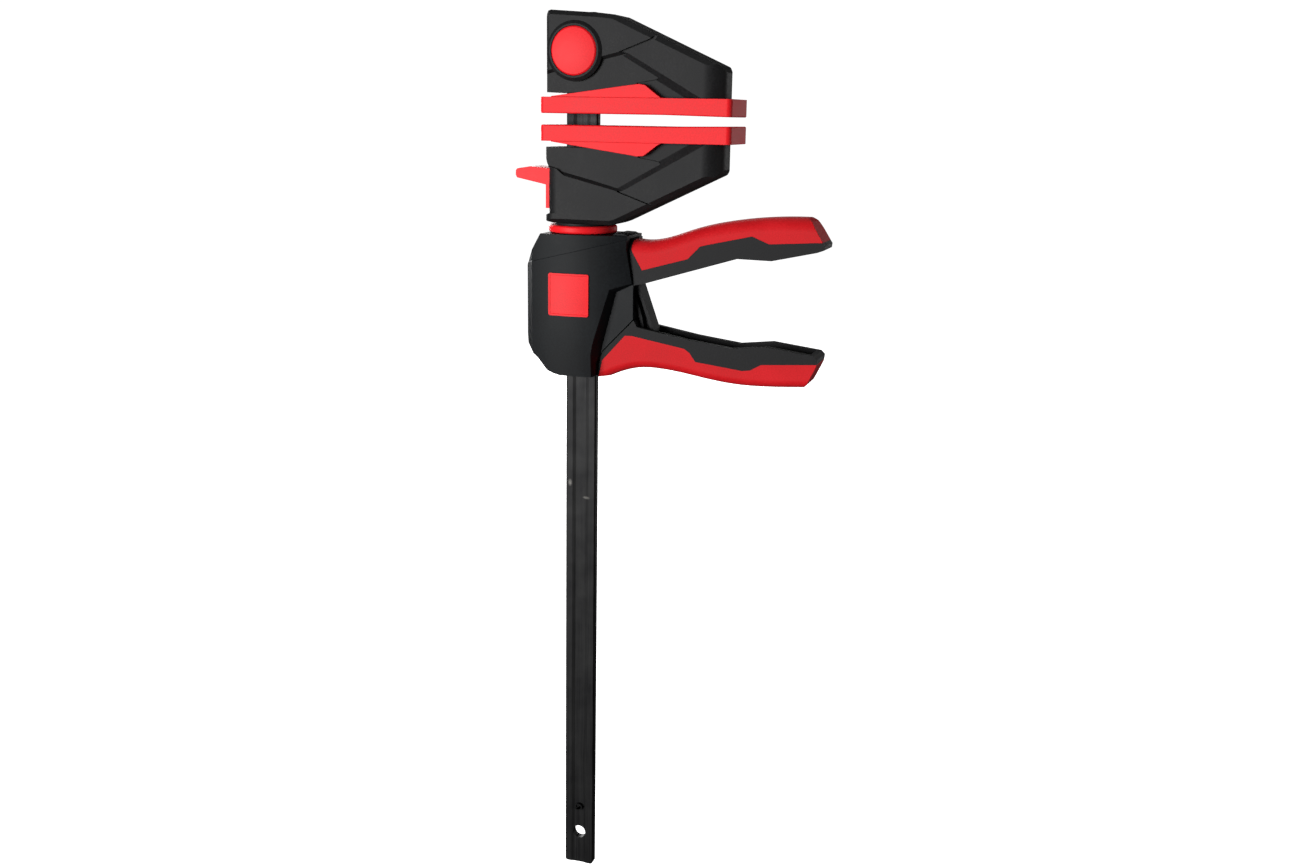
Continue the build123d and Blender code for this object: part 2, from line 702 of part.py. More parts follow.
TAB_OUTLINE = [
    (-39.3, 26.6),
    (-38.3, 25.6),
    (-30.3, 24.3),
    (-19.6, 25.0),
    (-15.2, 25.0),
    (-15.2, 34.0),
    (-20.3, 34.6),
    (-38.6, 31.0),
    (-39.5, 29.4),
]
SKIRT_OUTLINE = [(-SKIRT_BACK, 33.5), (-SKIRT_FRONT, 33.5), (-SKIRT_FRONT, 48.3), (-SKIRT_BACK, 48.3)]
ARM_OUTLINE = [
    (-SKIRT_BACK, 25.2),
    (-14.0, 24.8),
    (16.0, 27.4),
    (17.7, 30.5),
    (16.0, 33.6),
    (-14.0, 34.0),
    (-SKIRT_BACK, 34.2),
]
SHELF_OUTLINE = [(-16.0, 23.9), (-10.9, 23.9), (-10.9, 26.1), (-16.0, 26.1)]

with BuildPart() as release_lever:
    add(prism(jaw_points(MOVING, TAB_OUTLINE), SKIRT_WIDTH / 2))
    add(prism(jaw_points(MOVING, SKIRT_OUTLINE), SKIRT_WIDTH / 2))
    add(prism(jaw_points(MOVING, SHELF_OUTLINE), LEVER_ARM_INNER + 0.5))
    add(side_prisms(jaw_points(MOVING, ARM_OUTLINE), LEVER_ARM_INNER, LEVER_ARM_OUTER))
    add(
        cross_cylinder(BRAKE_PIN_X, BRAKE_PIN_Z, BRAKE_PIN_RADIUS + PIVOT_PLAY, -20, 20),
        mode=Mode.SUBTRACT,
    )
release_lever.part.label = "release_lever"
export_step(release_lever.part, "parts/release_lever.step")

brake_plane = Plane(
    origin=(BRAKE_PIN_X, 0, BRAKE_PIN_Z),
    x_dir=(cos(radians(BRAKE_TILT)), 0, -sin(radians(BRAKE_TILT))),
    z_dir=(sin(radians(BRAKE_TILT)), 0, cos(radians(BRAKE_TILT))),
)
with BuildPart() as brake_plates:
    for place in range(BRAKE_PLATE_COUNT):
        start = (place - BRAKE_PLATE_COUNT / 2) * BRAKE_PLATE_THICK
        hole_x = -BRAKE_PIN_X / cos(radians(BRAKE_TILT))
        hole_x = hole_x + (start + BRAKE_PLATE_THICK / 2) * -tan(radians(BRAKE_TILT))
        with BuildSketch(brake_plane.offset(start + 0.02)):
            with Locations(((BRAKE_PLATE_START + BRAKE_PLATE_END) / 2, 0)):
                Rectangle(BRAKE_PLATE_END - BRAKE_PLATE_START, BRAKE_PLATE_WIDTH)
            with Locations((hole_x, 0)):
                Rectangle(
                    RAIL_WIDTH + 2 * PLATE_PLAY,
                    RAIL_THICK + 2 * PLATE_PLAY,
                    mode=Mode.SUBTRACT,
                )
        extrude(amount=BRAKE_PLATE_THICK - 0.04)
brake_plates.part.label = "brake_plates"
export_step(brake_plates.part, "parts/brake_plates.step")

with BuildPart() as brake_pin:
    add(
        cross_cylinder(
            BRAKE_PIN_X,
            BRAKE_PIN_Z,
            BRAKE_PIN_RADIUS,
            -BRAKE_PIN_LENGTH / 2,
            BRAKE_PIN_LENGTH / 2,
        )
    )
    chamfer(brake_pin.edges().filter_by(GeomType.CIRCLE), 0.3)
brake_pin.part.label = "brake_pin"
export_step(brake_pin.part, "parts/brake_pin.step")

with BuildPart() as brake_spring:
    foot_z = MOVING_FACE_Z - BRAKE_ROOM_FAR
    add(
        coil(
            BRAKE_SPRING_RADIUS,
            BRAKE_SPRING_WIRE,
            BRAKE_SPRING_LENGTH,
            BRAKE_SPRING_TURNS,
            Plane(origin=(BRAKE_SPRING_X, 0, foot_z), z_dir=(0, 0, 1)),
        )
    )
brake_spring.part.label = "brake_spring"
export_step(brake_spring.part, "parts/brake_spring.step")

# ---------------------------------------------------------------- swivel

with BuildPart() as collar_ring:
    add(
        upright_ring(
            COLLAR_RADIUS, COLLAR_INNER_RADIUS, SWIVEL_Z - COLLAR_TOP, SWIVEL_Z - COLLAR_FOOT
        )
    )
    outer_rims = collar_ring.edges().filter_by(GeomType.CIRCLE)
    fillet([edge for edge in outer_rims if edge.radius > COLLAR_RADIUS - 0.1], COLLAR_ROUND)
collar_ring.part.label = "collar_ring"
export_step(collar_ring.part, "parts/collar_ring.step")

with BuildPart() as swivel_neck:
    add(upright_ring(SHOULDER_RADIUS, None, SWIVEL_Z, SWIVEL_Z - COLLAR_FOOT))
    add(upright_ring(NECK_RADIUS, None, SWIVEL_Z - COLLAR_FOOT, SWIVEL_Z - NECK_FOOT))
    add(
        upright_ring(
            NECK_FLANGE_RADIUS, None, SWIVEL_Z - NECK_FLANGE_TOP, SWIVEL_Z - NECK_FLANGE_FOOT
        )
    )
    add(rail_passage(SWIVEL_Z, SWIVEL_Z - NECK_FOOT, RAIL_PLAY), mode=Mode.SUBTRACT)
    with Locations(Plane.XY.offset(SWIVEL_Z)):
        with Locations((0, NECK_SCREW_Y), (0, -NECK_SCREW_Y)):
            Hole(SCREW_RADIUS + SCREW_HOLE_PLAY, depth=NECK_FOOT)
    with Locations(Plane.XY.offset(SWIVEL_Z - NECK_SCREW_SEAT)):
        with Locations((0, NECK_SCREW_Y), (0, -NECK_SCREW_Y)):
            Hole(SCREW_HEAD_RADIUS + SCREW_HOLE_PLAY, depth=NECK_FOOT)
swivel_neck.part.label = "swivel_neck"
export_step(swivel_neck.part, "parts/swivel_neck.step")

with BuildPart() as neck_screws:
    for side in (1, -1):
        with BuildSketch(Plane.XY.offset(SWIVEL_Z - NECK_SCREW_SEAT)):
            with Locations((0, side * NECK_SCREW_Y)):
                Circle(SCREW_RADIUS)
        extrude(amount=NECK_SCREW_SEAT + NECK_SCREW_DEPTH)
        with BuildSketch(Plane.XY.offset(SWIVEL_Z - NECK_SCREW_SEAT - SCREW_HEAD_THICK)):
            with Locations((0, side * NECK_SCREW_Y)):
                Circle(SCREW_HEAD_RADIUS)
        extrude(amount=SCREW_HEAD_THICK)
        with BuildSketch(Plane.XY.offset(SWIVEL_Z - NECK_SCREW_SEAT - SCREW_HEAD_THICK)):
            with Locations((0, side * NECK_SCREW_Y)):
                RegularPolygon(SCREW_RADIUS, 6)
        extrude(amount=SCREW_HEAD_THICK / 2, mode=Mode.SUBTRACT)
neck_screws.part.label = "neck_screws"
export_step(neck_screws.part, "parts/neck_screws.step")

# ---------------------------------------------------------------- handle housing

HOUSING_OUTLINE = [
    (-19.7, HOUSING_TOP),
    (-31.3, 25.5),
    (-31.3, 72.6),
    (-21.5, 79.9),
    (-15.3, HOUSING_FOOT - 2.6),
    (-11.3, HOUSING_FOOT - 1.0),
    (-7.0, HOUSING_FOOT),
    (13.3, HOUSING_FOOT),
    (13.6, HOUSING_FOOT - 2.0),
    (14.2, 81.3),
    (16.9, 74.5),
    (35.9, 54.7),
    (35.7, 33.8),
    (32.4, 13.7),
    (32.4, HOUSING_TOP),
]
UPPER_FACET = [(-40.0, 26.0), (-24.5, 22.2), (31.5, 8.1), (50.0, 3.5), (50.0, 0.0), (-40.0, 0.0)]
CHEEK = [
    (35.8, 34.1),
    (33.9, 35.0),
    (25.6, 39.1),
    (20.3, 59.2),
    (17.0, 71.6),
    (16.1, 76.4),
    (15.8, 95.4),
    (60.0, 95.4),
    (60.0, 22.5),
]
CHEEK_HALF = HANDLE_HALF + GRIP_SKIN
CHAMBER = [
    (-18.7, CHAMBER_TOP),
    (-29.0, 28.5),
    (-29.0, 71.4),
    (-20.0, 78.1),
    (-15.0, CHAMBER_FOOT),
    (12.2, CHAMBER_FOOT),
    (12.3, 80.5),
    (14.6, 73.1),
    (33.4, 52.8),
    (33.2, 34.2),
    (30.4, CHAMBER_TOP),
]
MOUTH = [(26.0, 16.0), (31.0, 7.6), (46.0, 7.2), (46.0, 50.0), (30.0, 50.0), (26.0, 40.0)]
MOUTH_HALF = 9.2
DECK = [(22.0, 6.2), (24.0, 4.8), (29.4, 5.0), (31.4, 5.9), (32.2, 7.2), (31.0, 9.0), (22.0, 9.0)]
DECK_HALF = 11.0
TONGUE = [(20.5, 64.5), (21.5, 57.0), (27.5, 52.8), (36.5, 58.5), (26.0, 68.5)]
TONGUE_HALF = 4.0
TONGUE_PLAY = 0.25


def housing_column(grow, top_drop, foot_drop, lean=0):
    """Column of the housing's plan between two drops, grown and leaning inwards."""
    rear = (-HOUSING_BACK, HOUSING_BACK_HALF)
    corner = (HOUSING_CORNER_X, HOUSING_CORNER_HALF)
    middle = (HOUSING_MIDDLE_X, HOUSING_HALF)
    front = (HOUSING_FRONT, HOUSING_FRONT_HALF)
    with BuildPart(mode=Mode.PRIVATE) as column:
        with BuildSketch(Plane.XY.offset(SWIVEL_Z - top_drop).reverse()):
            with BuildLine():
                Polyline(
                    (corner[0], -corner[1]),
                    (rear[0], -rear[1]),
                    (rear[0], rear[1]),
                    corner,
                )
                ThreePointArc(corner, middle, front)
                Line(front, (front[0], -front[1]))
                ThreePointArc((front[0], -front[1]), (middle[0], -middle[1]), (corner[0], -corner[1]))
            make_face()
            if grow != 0:
                offset(amount=grow, kind=Kind.INTERSECTION)
        extrude(amount=foot_drop - top_drop, taper=lean)
    return column.part


def boss_bars(radius, start_y, end_y):
    """Bars along Y at the four screw places."""
    with BuildPart(mode=Mode.PRIVATE) as bars:
        for x, drop in SCREW_PLACES:
            add(cross_cylinder(x, SWIVEL_Z - drop, radius, start_y, end_y))
    return bars.part


def housing_half():
    """The -Y half of the housing, without what differs between the halves."""
    outline = prism(handle_points(HOUSING_OUTLINE), 30)
    column = housing_column(0, HOUSING_TOP, LOWER_FACET_DROP)
    skirt = housing_column(0, LOWER_FACET_DROP, HOUSING_FOOT, LOWER_FACET_LEAN)
    facet = prism(handle_points(UPPER_FACET), 30)
    facet_core = housing_column(-FACET_STEP, -1, 30).moved(Location((-FACET_STEP, 0, 0)))
    cheeks = side_prisms(handle_points(CHEEK), CHEEK_HALF, 30)
    with BuildPart(mode=Mode.PRIVATE) as cheek_cut:
        with BuildSketch(Plane.XZ.offset(CHEEK_HALF)):
            with BuildLine():
                Polyline(*handle_points(CHEEK), close=True)
            make_face()
        extrude(amount=10, taper=-CHEEK_BEVEL)
    narrow = [(x - CHEEK_RIM, drop - CHEEK_RIM) for x, drop in CHEEK]
    inner_sides = side_prisms(handle_points(narrow), CHEEK_HALF - CHEEK_WALL, 30)
    hollow = prism(handle_points(CHAMBER), 30) & housing_column(-HOUSING_WALL, 0, 100)
    hollow = hollow - inner_sides - boss_bars(SCREW_BOSS_RADIUS, -30, 30)
    pivot_z = SWIVEL_Z - PIVOT_DROP
    for side in (1, -1):
        start, end = sorted((side * (FORK_OUTER + 0.4), side * 30))
        hollow = hollow - cross_cylinder(PIVOT_X, pivot_z, 2 * PIVOT_RADIUS, start, end)
    mouth = prism(handle_points(MOUTH), MOUTH_HALF)
    tongue = prism(handle_points(TONGUE), TONGUE_HALF + TONGUE_PLAY)
    with BuildPart(mode=Mode.PRIVATE) as half:
        add(column)
        add(skirt)
        add(outline, mode=Mode.INTERSECT)
        add(facet - facet_core, mode=Mode.SUBTRACT)
        add(cheek_cut.part, mode=Mode.SUBTRACT)
        add(hollow, mode=Mode.SUBTRACT)
        add(mouth, mode=Mode.SUBTRACT)
        add(tongue, mode=Mode.SUBTRACT)
        add(prism(handle_points(DECK), DECK_HALF))
        top_z = SWIVEL_Z - HOUSING_TOP
        add(
            upright_ring(NECK_RADIUS + SWIVEL_PLAY, None, top_z + 1, SWIVEL_Z - CHAMBER_TOP - 1),
            mode=Mode.SUBTRACT,
        )
        add(
            upright_ring(
                NECK_FLANGE_RADIUS + SWIVEL_PLAY,
                None,
                SWIVEL_Z - NECK_FLANGE_TOP + SWIVEL_PLAY,
                SWIVEL_Z - NECK_FLANGE_FOOT - SWIVEL_PLAY,
            ),
            mode=Mode.SUBTRACT,
        )
        add(
            upright_ring(
                BUSH_RADIUS + SWIVEL_PLAY, None, SWIVEL_Z - CHAMBER_FOOT, SWIVEL_Z - HOUSING_FOOT
            ),
            mode=Mode.SUBTRACT,
        )
        add(
            upright_ring(
                BUSH_FLANGE_RADIUS + SWIVEL_PLAY,
                None,
                SWIVEL_Z - CHAMBER_FOOT + SWIVEL_PLAY,
                SWIVEL_Z - BUSH_FLANGE_FOOT - SWIVEL_PLAY,
            ),
            mode=Mode.SUBTRACT,
        )
        pin_half = PIVOT_PIN_LENGTH / 2 + 0.1
        add(
            cross_cylinder(PIVOT_X, pivot_z, PIVOT_RADIUS + PIVOT_PLAY, -pin_half, pin_half),
            mode=Mode.SUBTRACT,
        )
        split(bisect_by=Plane.XZ, keep=Keep.TOP)
    return half.part


near_half = housing_half()
badge_z = SWIVEL_Z - BADGE_DROP
badge_skin = housing_column(BADGE_PROUD, 20, 62)
badge_core = housing_column(-BADGE_SUNK, 20, 62)


def badge_block(play):
    """Square column through the near side at the badge."""
    with BuildPart(mode=Mode.PRIVATE) as block:
        with BuildSketch(Plane.XZ.offset(10)):
            with Locations((BADGE_X, badge_z)):
                RectangleRounded(BADGE_SIZE + 2 * play, BADGE_SIZE + 2 * play, BADGE_CORNER_RADIUS)
        extrude(amount=20)
    return block.part


with BuildPart() as badge_plate:
    add(badge_skin)
    add(housing_column(BADGE_BED_GAP - BADGE_SUNK, 19, 63), mode=Mode.SUBTRACT)
    add(badge_block(0), mode=Mode.INTERSECT)
badge_plate.part.label = "badge_plate"
export_step(badge_plate.part, "parts/badge_plate.step")

with BuildPart() as housing_near:
    add(near_half)
    add(badge_block(BADGE_PLAY) - badge_core, mode=Mode.SUBTRACT)
    add(boss_bars(SCREW_RADIUS + SCREW_HOLE_PLAY, SCREW_TIP - 0.3, 1), mode=Mode.SUBTRACT)
housing_near.part.label = "housing_near"
export_step(housing_near.part, "parts/housing_near.step")


def screw_seat(x):
    """Height of the screw heads' seat above the middle plane."""
    return SCREW_SEAT if x < 0 else SCREW_FRONT_SEAT


with BuildPart() as housing_far:
    add(near_half)
    mirror(about=Plane.XZ, mode=Mode.REPLACE)
    add(boss_bars(SCREW_RADIUS + SCREW_HOLE_PLAY, -1, 30), mode=Mode.SUBTRACT)
    for x, drop in SCREW_PLACES:
        add(
            cross_cylinder(
                x, SWIVEL_Z - drop, SCREW_HEAD_RADIUS + SCREW_HOLE_PLAY, screw_seat(x), 30
            ),
            mode=Mode.SUBTRACT,
        )
housing_far.part.label = "housing_far"
export_step(housing_far.part, "parts/housing_far.step")

with BuildPart() as housing_screws:
    for x, drop in SCREW_PLACES:
        seat = screw_seat(x)
        z = SWIVEL_Z - drop
        add(cross_cylinder(x, z, SCREW_RADIUS, SCREW_TIP, seat))
        add(cross_cylinder(x, z, SCREW_HEAD_RADIUS, seat, seat + SCREW_HEAD_THICK))
        with BuildSketch(Plane.XZ.offset(-seat - SCREW_HEAD_THICK)):
            with Locations((x, z)):
                Rectangle(2.4 * SCREW_RADIUS, 0.5 * SCREW_RADIUS)
                Rectangle(0.5 * SCREW_RADIUS, 2.4 * SCREW_RADIUS)
        extrude(amount=SCREW_HEAD_THICK / 2, mode=Mode.SUBTRACT)
housing_screws.part.label = "housing_screws"
export_step(housing_screws.part, "parts/housing_screws.step")

# ---------------------------------------------------------------- lower handle

GRIP_TOP = [(36.4, 55.1), (38.4, 59.0), (70.0, 64.6), (96.5, 67.9), (116.0, 65.6), (144.4, 69.0)]
GRIP_END = [(144.4, 69.0), (146.6, 71.2), (146.0, 75.2), (140.8, 86.2), (138.8, 88.1)]
GRIP_BELLY = [
    (138.8, 88.1),
    (118.6, 89.4),
    (98.2, 89.4),
    (77.5, 86.9),
    (61.4, 84.4),
    (50.4, 83.4),
    (39.9, 83.7),
    (28.8, 86.6),
    (21.6, 89.7),
]
GRIP_ROOT = [(21.6, 89.7), (13.8, 90.4), (14.6, 81.5), (17.3, 74.9), (36.4, 55.1)]
GRIP_CHANNEL = [
    (37.7, 50.0),
    (37.7, 78.9),
    (49.4, 79.7),
    (61.4, 80.7),
    (77.5, 83.0),
    (98.2, 85.4),
    (118.6, 85.4),
    (135.4, 84.0),
    (142.0, 73.8),
    (142.0, 50.0),
]
GRIP_RED = [
    (9.3, 96.4),
    (14.6, 95.4),
    (14.9, 89.2),
    (17.0, 80.2),
    (31.0, 64.6),
    (35.3, 64.4),
    (67.8, 69.9),
    (71.0, 72.2),
    (74.7, 77.2),
    (102.7, 80.5),
    (107.8, 79.8),
    (113.9, 76.2),
    (144.8, 74.0),
    (155.7, 73.3),
    (155.7, 96.4),
]
LEVER_CROWN = [
    (33.0, 7.8),
    (44.3, 8.5),
    (54.8, 6.3),
    (72.3, 0.3),
    (91.9, -4.3),
    (114.0, -7.2),
    (137.0, -8.1),
]
LEVER_END = [(137.0, -8.1), (139.8, -6.0), (147.9, 6.8), (147.6, 9.2), (144.0, 10.6)]
LEVER_BELLY = [
    (144.0, 10.6),
    (117.9, 16.5),
    (97.9, 16.2),
    (44.2, 32.7),
    (36.3, 34.5),
    (33.0, 13.7),
    (33.0, 7.8),
]
LEVER_RED = [
    (34.4, -20.0),
    (34.3, 13.9),
    (41.1, 25.5),
    (68.6, 17.7),
    (72.1, 14.1),
    (76.1, 10.0),
    (106.2, 3.1),
    (116.3, 7.1),
    (148.7, 4.9),
    (156.0, 4.4),
    (156.0, -20.0),
]
LEVER_NECK = [
    (10.6, 24.0),
    (24.0, 19.2),
    (29.5, 16.5),
    (32.6, 11.2),
    (38.4, 11.2),
    (38.4, 32.7),
    (36.3, 33.4),
    (30.0, 35.5),
    (13.0, 36.0),
    (10.6, 36.0),
]
WEB = [(22.0, 31.0), (36.2, 31.0), (38.2, 36.7), (44.7, 54.4), (47.6, WEB_FOOT), (22.0, WEB_FOOT)]
LEVER_BRIDGE = [(10.6, 24.0), (13.0, 24.0), (13.0, 36.0), (10.6, 36.0)]
LEVER_ARM = [
    (10.6, 24.0),
    (13.0, 24.0),
    (13.0, 37.0),
    (10.5, 50.0),
    (7.0, 57.5),
    (1.0, 57.5),
    (-15.5, 73.0),
    (-24.5, 70.6),
    (-24.5, 66.0),
    (-20.0, 62.6),
    (0.0, 46.0),
    (10.6, 33.0),
]


def handle_blank(curve, lines, round_radius):
    """Handle body from its smooth side and its straight sides, rounded along the smooth side."""
    with BuildPart(mode=Mode.PRIVATE) as body:
        with BuildSketch(Plane.XZ):
            with BuildLine():
                Spline(*handle_points(curve))
                for points in lines:
                    Polyline(*handle_points(points))
            make_face()
        extrude(amount=CHEEK_HALF, both=True)
        smooth = [face for face in body.faces() if face.geom_type != GeomType.PLANE]
        rim = []
        for face in smooth:
            rim += [edge for edge in face.edges() if abs(edge.center().Y) > CHEEK_HALF - 0.1]
        fillet(rim, round_radius)
    return body.part


def handle_inner(curve, lines, gap):
    """What the soft cover is moulded round, grown by a gap: a wide and a tall prism."""
    loop = list(curve)
    for points in lines:
        loop += points[1:]
    tall = (GRIP_SKIN, HANDLE_HALF - GRIP_SKIN - 0.6)
    wide = (2 * GRIP_SKIN + 0.2, HANDLE_HALF)
    with BuildPart(mode=Mode.PRIVATE) as body:
        for inset, half_width in (tall, wide):
            with BuildSketch(Plane.XZ):
                with BuildLine():
                    Polyline(*handle_points(loop[:-1]), close=True)
                make_face()
                offset(amount=gap - inset, kind=Kind.INTERSECTION)
            extrude(amount=half_width + gap, both=True)
    return body.part


GRIP_LINES = (GRIP_ROOT, GRIP_TOP, GRIP_END)
grip_body = handle_blank(GRIP_BELLY, GRIP_LINES, BELLY_RADIUS)
grip_inner = handle_inner(GRIP_BELLY, GRIP_LINES, 0)
grip_seat = handle_inner(GRIP_BELLY, GRIP_LINES, SKIN_GAP)
grip_red = prism(handle_points(GRIP_RED), 30)

with BuildPart() as grip_cover:
    add(grip_body)
    add(grip_red, mode=Mode.INTERSECT)
    add(grip_seat, mode=Mode.SUBTRACT)
grip_cover.part.label = "grip_cover"
export_step(grip_cover.part, "parts/grip_cover.step")

with BuildPart() as grip_core:
    add(grip_body)
    add(grip_red, mode=Mode.SUBTRACT)
    add(grip_inner)
    add(prism(handle_points(TONGUE), TONGUE_HALF))
    add(prism(handle_points(GRIP_CHANNEL), CHANNEL_HALF), mode=Mode.SUBTRACT)
    front_x, front_drop = SCREW_PLACES[-1]
    add(
        cross_cylinder(front_x, SWIVEL_Z - front_drop, SCREW_RADIUS + SCREW_HOLE_PLAY, -20, 20),
        mode=Mode.SUBTRACT,
    )
grip_core.part.label = "grip_core"
export_step(grip_core.part, "parts/grip_core.step")

# ---------------------------------------------------------------- pump lever

LEVER_LINES = (LEVER_END, LEVER_BELLY)
lever_body = handle_blank(LEVER_CROWN, LEVER_LINES, CROWN_RADIUS)
lever_inner = handle_inner(LEVER_CROWN, LEVER_LINES, 0)
lever_seat = handle_inner(LEVER_CROWN, LEVER_LINES, SKIN_GAP)
lever_red = prism(handle_points(LEVER_RED), 30)
PIVOT_Z = SWIVEL_Z - PIVOT_DROP

with BuildPart() as lever_cover:
    add(lever_body)
    add(lever_red, mode=Mode.INTERSECT)
    add(lever_seat, mode=Mode.SUBTRACT)
    add(prism(handle_points(LEVER_NECK), NECK_HALF + SKIN_GAP), mode=Mode.SUBTRACT)
lever_cover.part.label = "lever_cover"
export_step(lever_cover.part, "parts/lever_cover.step")

web = prism(handle_points(WEB), WEB_HALF) - cross_cylinder(
    PIVOT_X, PIVOT_Z, WEB_INNER_RADIUS, -WEB_HALF, WEB_HALF
)

with BuildPart() as pump_lever:
    add(lever_body)
    add(lever_red, mode=Mode.SUBTRACT)
    add(lever_inner)
    add(web)
    add(prism(handle_points(LEVER_NECK), NECK_HALF))
    add(prism(handle_points(LEVER_BRIDGE), FORK_OUTER))
    add(side_prisms(handle_points(LEVER_ARM), FORK_INNER, FORK_OUTER))
    for side in (1, -1):
        start, end = sorted((side * NOSE_INNER, side * FORK_OUTER))
        add(cross_cylinder(NOSE_X, SWIVEL_Z - NOSE_DROP, NOSE_RADIUS, start, end))
        start, end = sorted((side * FORK_INNER, side * FORK_OUTER))
        add(cross_cylinder(PIVOT_X, PIVOT_Z, 2 * PIVOT_RADIUS + 0.5, start, end))
    add(
        cross_cylinder(PIVOT_X, PIVOT_Z, PIVOT_RADIUS + PIVOT_PLAY, -20, 20),
        mode=Mode.SUBTRACT,
    )
pump_lever.part.label = "pump_lever"
export_step(pump_lever.part, "parts/pump_lever.step")

with BuildPart() as pivot_pin:
    pin_half = PIVOT_PIN_LENGTH / 2
    add(cross_cylinder(PIVOT_X, PIVOT_Z, PIVOT_RADIUS, -pin_half, pin_half))
    chamfer(pivot_pin.edges().filter_by(GeomType.CIRCLE), 0.3)
pivot_pin.part.label = "pivot_pin"
export_step(pivot_pin.part, "parts/pivot_pin.step")

# ---------------------------------------------------------------- drive

with BuildPart() as drive_carrier:
    top_z = SWIVEL_Z - CARRIER_FLANGE_TOP
    foot_z = SWIVEL_Z - CARRIER_FLANGE_FOOT
    add(upright_ring(CARRIER_FLANGE_RADIUS, None, top_z, foot_z))
    with Locations((RIDGE_X, 0, foot_z - RIDGE_DEPTH / 2)):
        Box(RIDGE_LENGTH, RIDGE_WIDTH, RIDGE_DEPTH)
    add(rail_passage(top_z, foot_z - 5, RAIL_PLAY), mode=Mode.SUBTRACT)
drive_carrier.part.label = "drive_carrier"
export_step(drive_carrier.part, "parts/drive_carrier.step")

with BuildPart() as drive_plates:
    pitch = DRIVE_PLATE_THICK + DRIVE_PLATE_GAP
    for place in range(DRIVE_PLATE_COUNT):
        rise = (place - (DRIVE_PLATE_COUNT - 1) / 2) * pitch / cos(radians(DRIVE_TILT))
        plate_plane = Plane(
            origin=(0, 0, SWIVEL_Z - DRIVE_PLATE_DROP + rise),
            x_dir=(cos(radians(DRIVE_TILT)), 0, -sin(radians(DRIVE_TILT))),
            z_dir=(sin(radians(DRIVE_TILT)), 0, cos(radians(DRIVE_TILT))),
        )
        with BuildSketch(plate_plane):
            Circle(DRIVE_PLATE_LENGTH / 2)
            Rectangle(DRIVE_PLATE_LENGTH, DRIVE_PLATE_WIDTH, mode=Mode.INTERSECT)
            Rectangle(
                RAIL_WIDTH + 2 * PLATE_PLAY, RAIL_THICK + 2 * PLATE_PLAY, mode=Mode.SUBTRACT
            )
        extrude(amount=DRIVE_PLATE_THICK / 2, both=True)
drive_plates.part.label = "drive_plates"
export_step(drive_plates.part, "parts/drive_plates.step")

with BuildPart() as spring_seat:
    add(
        upright_ring(
            SEAT_RADIUS, SEAT_INNER_RADIUS, SWIVEL_Z - SEAT_TOP, SWIVEL_Z - SEAT_TOP - SEAT_THICK
        )
    )
spring_seat.part.label = "spring_seat"
export_step(spring_seat.part, "parts/spring_seat.step")

with BuildPart() as return_spring:
    spring_length = BUSH_TOP - SEAT_TOP - SEAT_THICK
    add(
        coil(
            RETURN_SPRING_RADIUS,
            RETURN_SPRING_WIRE,
            spring_length,
            (spring_length - RETURN_SPRING_WIRE) / RETURN_SPRING_PITCH,
            Plane(origin=(0, 0, SWIVEL_Z - BUSH_TOP), z_dir=(0, 0, 1)),
        )
    )
return_spring.part.label = "return_spring"
export_step(return_spring.part, "parts/return_spring.step")

with BuildPart() as guide_bush:
    add(
        upright_ring(BUSH_FLANGE_RADIUS, None, SWIVEL_Z - BUSH_TOP, SWIVEL_Z - BUSH_FLANGE_FOOT)
    )
    add(upright_ring(BUSH_RADIUS, None, SWIVEL_Z - BUSH_FLANGE_FOOT, SWIVEL_Z - HOUSING_FOOT))
    add(
        rail_passage(SWIVEL_Z - BUSH_TOP, SWIVEL_Z - HOUSING_FOOT, RAIL_PLAY), mode=Mode.SUBTRACT
    )
guide_bush.part.label = "guide_bush"
export_step(guide_bush.part, "parts/guide_bush.step")
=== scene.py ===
# %% [markdown]
# # A quick release bar clamp
# The clamp is a blackened steel bar with two glass-filled nylon jaws, red pads, and a pair of
# handles that pump the lower jaw up the bar. The solids come from the imported frame. Here they get
# moulded edges, finishes, smooth copies of two springs, a camera and a studio.

from math import cos, radians, sin

import bpy
from mathutils import Matrix, Vector


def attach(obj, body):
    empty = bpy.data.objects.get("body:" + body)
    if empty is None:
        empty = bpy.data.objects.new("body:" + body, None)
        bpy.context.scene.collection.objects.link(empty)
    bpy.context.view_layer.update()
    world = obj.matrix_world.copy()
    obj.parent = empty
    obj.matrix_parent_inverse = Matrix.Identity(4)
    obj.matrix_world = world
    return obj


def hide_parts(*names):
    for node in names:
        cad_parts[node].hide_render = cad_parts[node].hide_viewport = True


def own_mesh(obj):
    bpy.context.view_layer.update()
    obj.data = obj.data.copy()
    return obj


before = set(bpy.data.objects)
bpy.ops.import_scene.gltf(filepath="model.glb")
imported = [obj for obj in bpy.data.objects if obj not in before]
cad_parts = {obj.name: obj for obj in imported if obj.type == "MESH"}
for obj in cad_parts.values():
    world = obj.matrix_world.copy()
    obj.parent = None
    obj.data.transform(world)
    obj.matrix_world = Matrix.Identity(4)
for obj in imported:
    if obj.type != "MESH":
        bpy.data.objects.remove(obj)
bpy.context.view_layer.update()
MM = 0.001

# %% [markdown]
# ## Small helpers
# Colours are written as the hex values that a paint chart gives, and Blender wants them linear.
# A material is a chain of nodes, so one small function adds a node with its settings and links.
# Every pattern reads the object's own coordinates, so it moves with the piece it is on.


# %% Colour and node helpers
def linear(hex_colour):
    """A #rrggbb colour as the linear red, green, blue and alpha that a shader takes."""
    values = [int(hex_colour[i : i + 2], 16) / 255 for i in (1, 3, 5)]
    return [v / 12.92 if v <= 0.04045 else ((v + 0.055) / 1.055) ** 2.4 for v in values] + [1.0]


